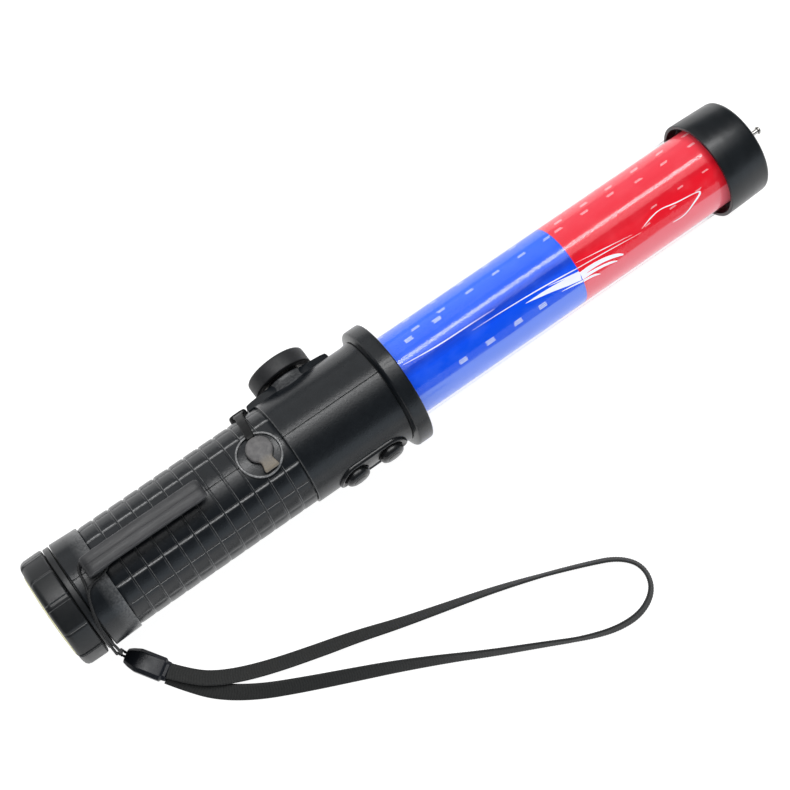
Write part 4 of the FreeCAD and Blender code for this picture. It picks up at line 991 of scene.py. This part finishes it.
# Rows of bright dashes on the films: angle, first station, how many, length and width.
DASH_ROWS = {
    "blue": [(62, 167, 6, 3.6, 0.5), (57, 167, 6, 3.6, 0.5), (28.5, 179.3, 6, 4, 1.4),
             (19, 174.5, 2, 4.2, 2), (-45.5, 188, 4, 4.4, 2.2),
             (-112, 172, 6, 4, 0.9), (-150, 178, 5, 3.6, 0.6), (152, 172, 6, 4, 0.9),
             (108, 176, 6, 3.8, 0.9)],
    "red": [(45, 255.4, 6, 3.8, 0.5), (42, 255.4, 6, 3.8, 0.5), (29, 252.6, 3, 4, 1.4),
            (21, 293, 3, 4, 1.2), (-20, 291, 3, 3.4, 0.7), (-35.5, 284.5, 3, 3.4, 0.7),
            (-112, 258, 5, 4, 0.9), (-150, 264, 5, 3.6, 0.6),
            (152, 258, 5, 4, 0.9), (108, 262, 5, 3.8, 0.9)],
}
MARK_RADIUS = 18.13


def patch(x, angle, length, width):
    """The eight corners of a thin pad that lies on the film."""
    degrees = math.degrees(width / MARK_RADIUS) / 2
    corners = [(x, angle - degrees), (x + length, angle - degrees),
               (x + length, angle + degrees), (x, angle + degrees)]
    points = [around(a, MARK_RADIUS - 0.05, b) for a, b in corners]
    points += [around(a, MARK_RADIUS + 0.03, b) for a, b in corners]
    return points


PATCH_FACES = [(3, 2, 1, 0), (4, 5, 6, 7), (0, 1, 5, 4), (1, 2, 6, 5), (2, 3, 7, 6), (3, 0, 4, 7)]


def make_dashes():
    """Short bright lines on the films, singly or in twos and threes."""
    rng = random.Random(7)
    for colour, rows in DASH_ROWS.items():
        points, faces = [], []
        for angle, first, count, length, width in rows:
            for number in range(count):
                x = first + number * DASH_PITCH + rng.uniform(-0.5, 0.5)
                turn = angle + rng.uniform(-0.7, 0.7)
                parts, fill = next((n, f) for below, n, f in DASH_LINES if width < below)
                for part in range(parts):
                    size = length * rng.uniform(0.8, 1.0)
                    at = x + rng.uniform(0, length - size)
                    lift = (part - (parts - 1) / 2) * math.degrees(width / parts / MARK_RADIUS)
                    faces += [tuple(len(points) + k for k in face) for face in PATCH_FACES]
                    points += patch(at, turn + lift, size, width / parts * fill)
        mesh_piece("film_%s_dashes" % colour, to_frame(points), faces, DASH[colour], "handle",
                   colour + "_film", sharp=30)


# Painted reflections: white glowing strips for the gloss lines where the films touch the tube, as
# (station, angle, width) along each.
FILM_PAINTED_GLINTS = {
    "blue": [
        [(168, -6, 0.15), (184, -11, 0.4), (197, -11.5, 0.3), (212, -13, 0.1)],
        [(199, -19.5, 0.05), (213, -21, 0.3), (231, -24.3, 0.45), (243, -28, 0.5),
         (250.2, -30.5, 0.3)],
        [(224, -30, 0.1), (231, -32, 1.3), (237, -34.5, 2.2), (244, -38.5, 3.2),
         (250.2, -42, 3.6)],
        [(236, -28, 0.1), (243, -32, 0.5), (250.2, -36, 0.7)],
        [(240, -45, 0.1), (245, -47, 0.5), (250.2, -50, 0.8)],
    ],
    "red": [
        [(250.4, -40.5, 2.2), (255, -39.5, 2), (260, -40.5, 1.8), (265, -43.5, 1.7),
         (269, -48, 1.4), (271, -52, 0.6)],
        [(250.4, -45.5, 1.7), (256, -46.5, 1.2), (261, -48.5, 1.1), (265, -51.5, 1),
         (267.5, -55, 0.4)],
        [(250.4, -30.5, 0.3), (264, -34, 0.35), (282, -40, 0.05)],
        [(251, -23.5, 0.05), (264, -29, 0.35), (278, -35, 0.05)],
        [(250.4, -50.5, 1), (254, -51.5, 1), (257, -54, 0.8), (258.5, -57, 0.3)],
        [(283, -36, 0.05), (288, -31, 0.5), (294, -27.5, 0.35), (301, -33.5, 0.5),
         (312, -37, 0.3), (314, -41, 0.9), (309, -48, 0.7), (303, -57, 0.4), (297, -55, 0.2)],
    ],
}


def make_painted_glints():
    """The painted reflections, as thin white strips that taper and bend on the films."""
    for colour, lines in FILM_PAINTED_GLINTS.items():
        points, faces = [], []
        for line in lines:
            stations = np.arange(len(line))
            fine = np.linspace(0, len(line) - 1, 8 * (len(line) - 1) + 1)
            x, angle, width = (np.interp(fine, stations, column) for column in zip(*line))
            padded = (np.pad(v, 4, mode="reflect", reflect_type="odd") for v in (x, angle))
            x, angle = (np.convolve(v, np.ones(9) / 9, mode="valid") for v in padded)
            place = np.stack([x, angle * math.radians(MARK_RADIUS)], -1)
            heading = np.gradient(place, axis=0)
            heading /= np.linalg.norm(heading, axis=1, keepdims=True)
            sideways = np.stack([-heading[:, 1], heading[:, 0]], -1) * (width / 2)[:, None]
            rings = []
            for left, right in zip(place - sideways, place + sideways):
                section = [(left, -0.04), (right, -0.04), (right, 0.04), (left, 0.04)]
                rings.append([around(p[0], MARK_RADIUS + lift,
                                     p[1] / math.radians(MARK_RADIUS)) for p, lift in section])
            faces += loft(rings, first=len(points))
            points += [point for ring in rings for point in ring]
        mesh_piece("film_%s_creases" % colour, to_frame(points), faces, PAINTED_GLINT, "handle",
                   colour + "_film", sharp=60)


def make_tube():
    """The clear tube, open at both ends."""
    outline = [
        (TUBE_START, TUBE_BORE), (TUBE_START, TUBE_RADIUS), (TUBE_END, TUBE_RADIUS),
        (TUBE_END, TUBE_BORE)]
    lathe("light_tube_wall", outline, GLASS, "handle", "clear_tube", ["light_tube"],
          angles=np.arange(0, 360, 2))


def make_tip():
    """The end cap and the stud that stands on it."""
    outline = [
        (324.5, 20.9, 0.15), (324.5, 22.4, 0.35), (333, 22.2), (345.3, 21.75, 1.7), (345.3, 12),
        (345.3, 1.15), (342.3, 1.15), (342.3, 17), (334, 17), (334, 19.25), (330, 19.25),
        (330, 20.9, 0.3)]
    lathe("tip_cap_shell", outline, TIP, "handle", "shell_plastic", ["tip_cap"])
    outline = [
        (0, 358.6), (1, 358.55), (1.75, 358.1, 0.3), (1.8, 357.3, 0.2), (1.1, 357, 0.1),
        (1.1, 346.6), (1.6, 346.3, 0.1), (1.9, 345.2), (1.1, 345.1), (1.1, 338), (0, 338)]
    disc_piece("tip_stud", outline, (0, 0, 0), (1, 0, 0), STEEL, "handle", "bright_metal",
               ["breaker_stud"], sides=32)


# ---- bead ----

def make_bead():
    """A bevelled flat bead, narrower at the string's end and stepped at the ribbon's."""
    low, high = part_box("lanyard_bead")
    middle = np.array([(low.x + high.x) / 2, (low.y + high.y) / 2, 0])
    turn = math.radians(-57)
    along = np.array([math.cos(turn), math.sin(turn), 0])
    across = np.array([-math.sin(turn), math.cos(turn), 0])
    # station, half width, underside, top
    sections = [
        (-9.4, 2.5, 1.5, 4), (-9.1, 3, 1.1, 4.5), (-7.2, 3.9, 0.5, 5.2), (-4.2, 4.75, 0.15, 5.65),
        (-3.6, 4.85, 0.1, 5.75), (6.4, 4.9, 0.1, 5.75), (7, 4.8, 0.15, 5.65),
        (7.3, 4.4, 0.4, 5.2), (7.55, 4.1, 0.7, 4.8), (9.1, 4, 0.8, 4.7), (9.4, 3.7, 1.1, 4.4)]
    rings = []
    for station, half, under, top in sections:
        chamfer = min(1.5, half * 0.34)
        drop = min(1.35, (top - under) * 0.3)
        section = [
            (half, under + drop), (half, top - drop), (half - chamfer, top),
            (-half + chamfer, top), (-half, top - drop), (-half, under + drop),
            (-half + chamfer, under), (half - chamfer, under)]
        rings.append([middle + (along * station + across * a) * MM + np.array([0, 0, z * MM])
                      for a, z in section])
    bead = mesh_piece(
        "lanyard_bead_body", rings, loft(rings), BEAD, "handle", "inner_plastic",
        ["lanyard_bead"], sharp=25)
    rounding = bead.modifiers.new("rounding", "BEVEL")
    rounding.width = 0.22 * MM
    rounding.segments = 2
    rounding.limit_method = "ANGLE"
    rounding.angle_limit = math.radians(20)


# ---- CAD pieces that stay ----

def dress_inner_pieces():
    """The pieces inside keep their CAD shapes and get their own finishes."""
    for names, material in INNER:
        for name in names.split():
            slots = NODES[name].data.materials
            slots.clear()
            slots.append(material)


make_studio()
make_camera()
make_string()
make_ribbon()
make_bead()
make_shell()
make_tail()
make_clip()
make_port()
make_buttons()
make_magnet_foot()
make_films()
make_dashes()
make_painted_glints()
make_tube()
make_tip()
dress_inner_pieces()
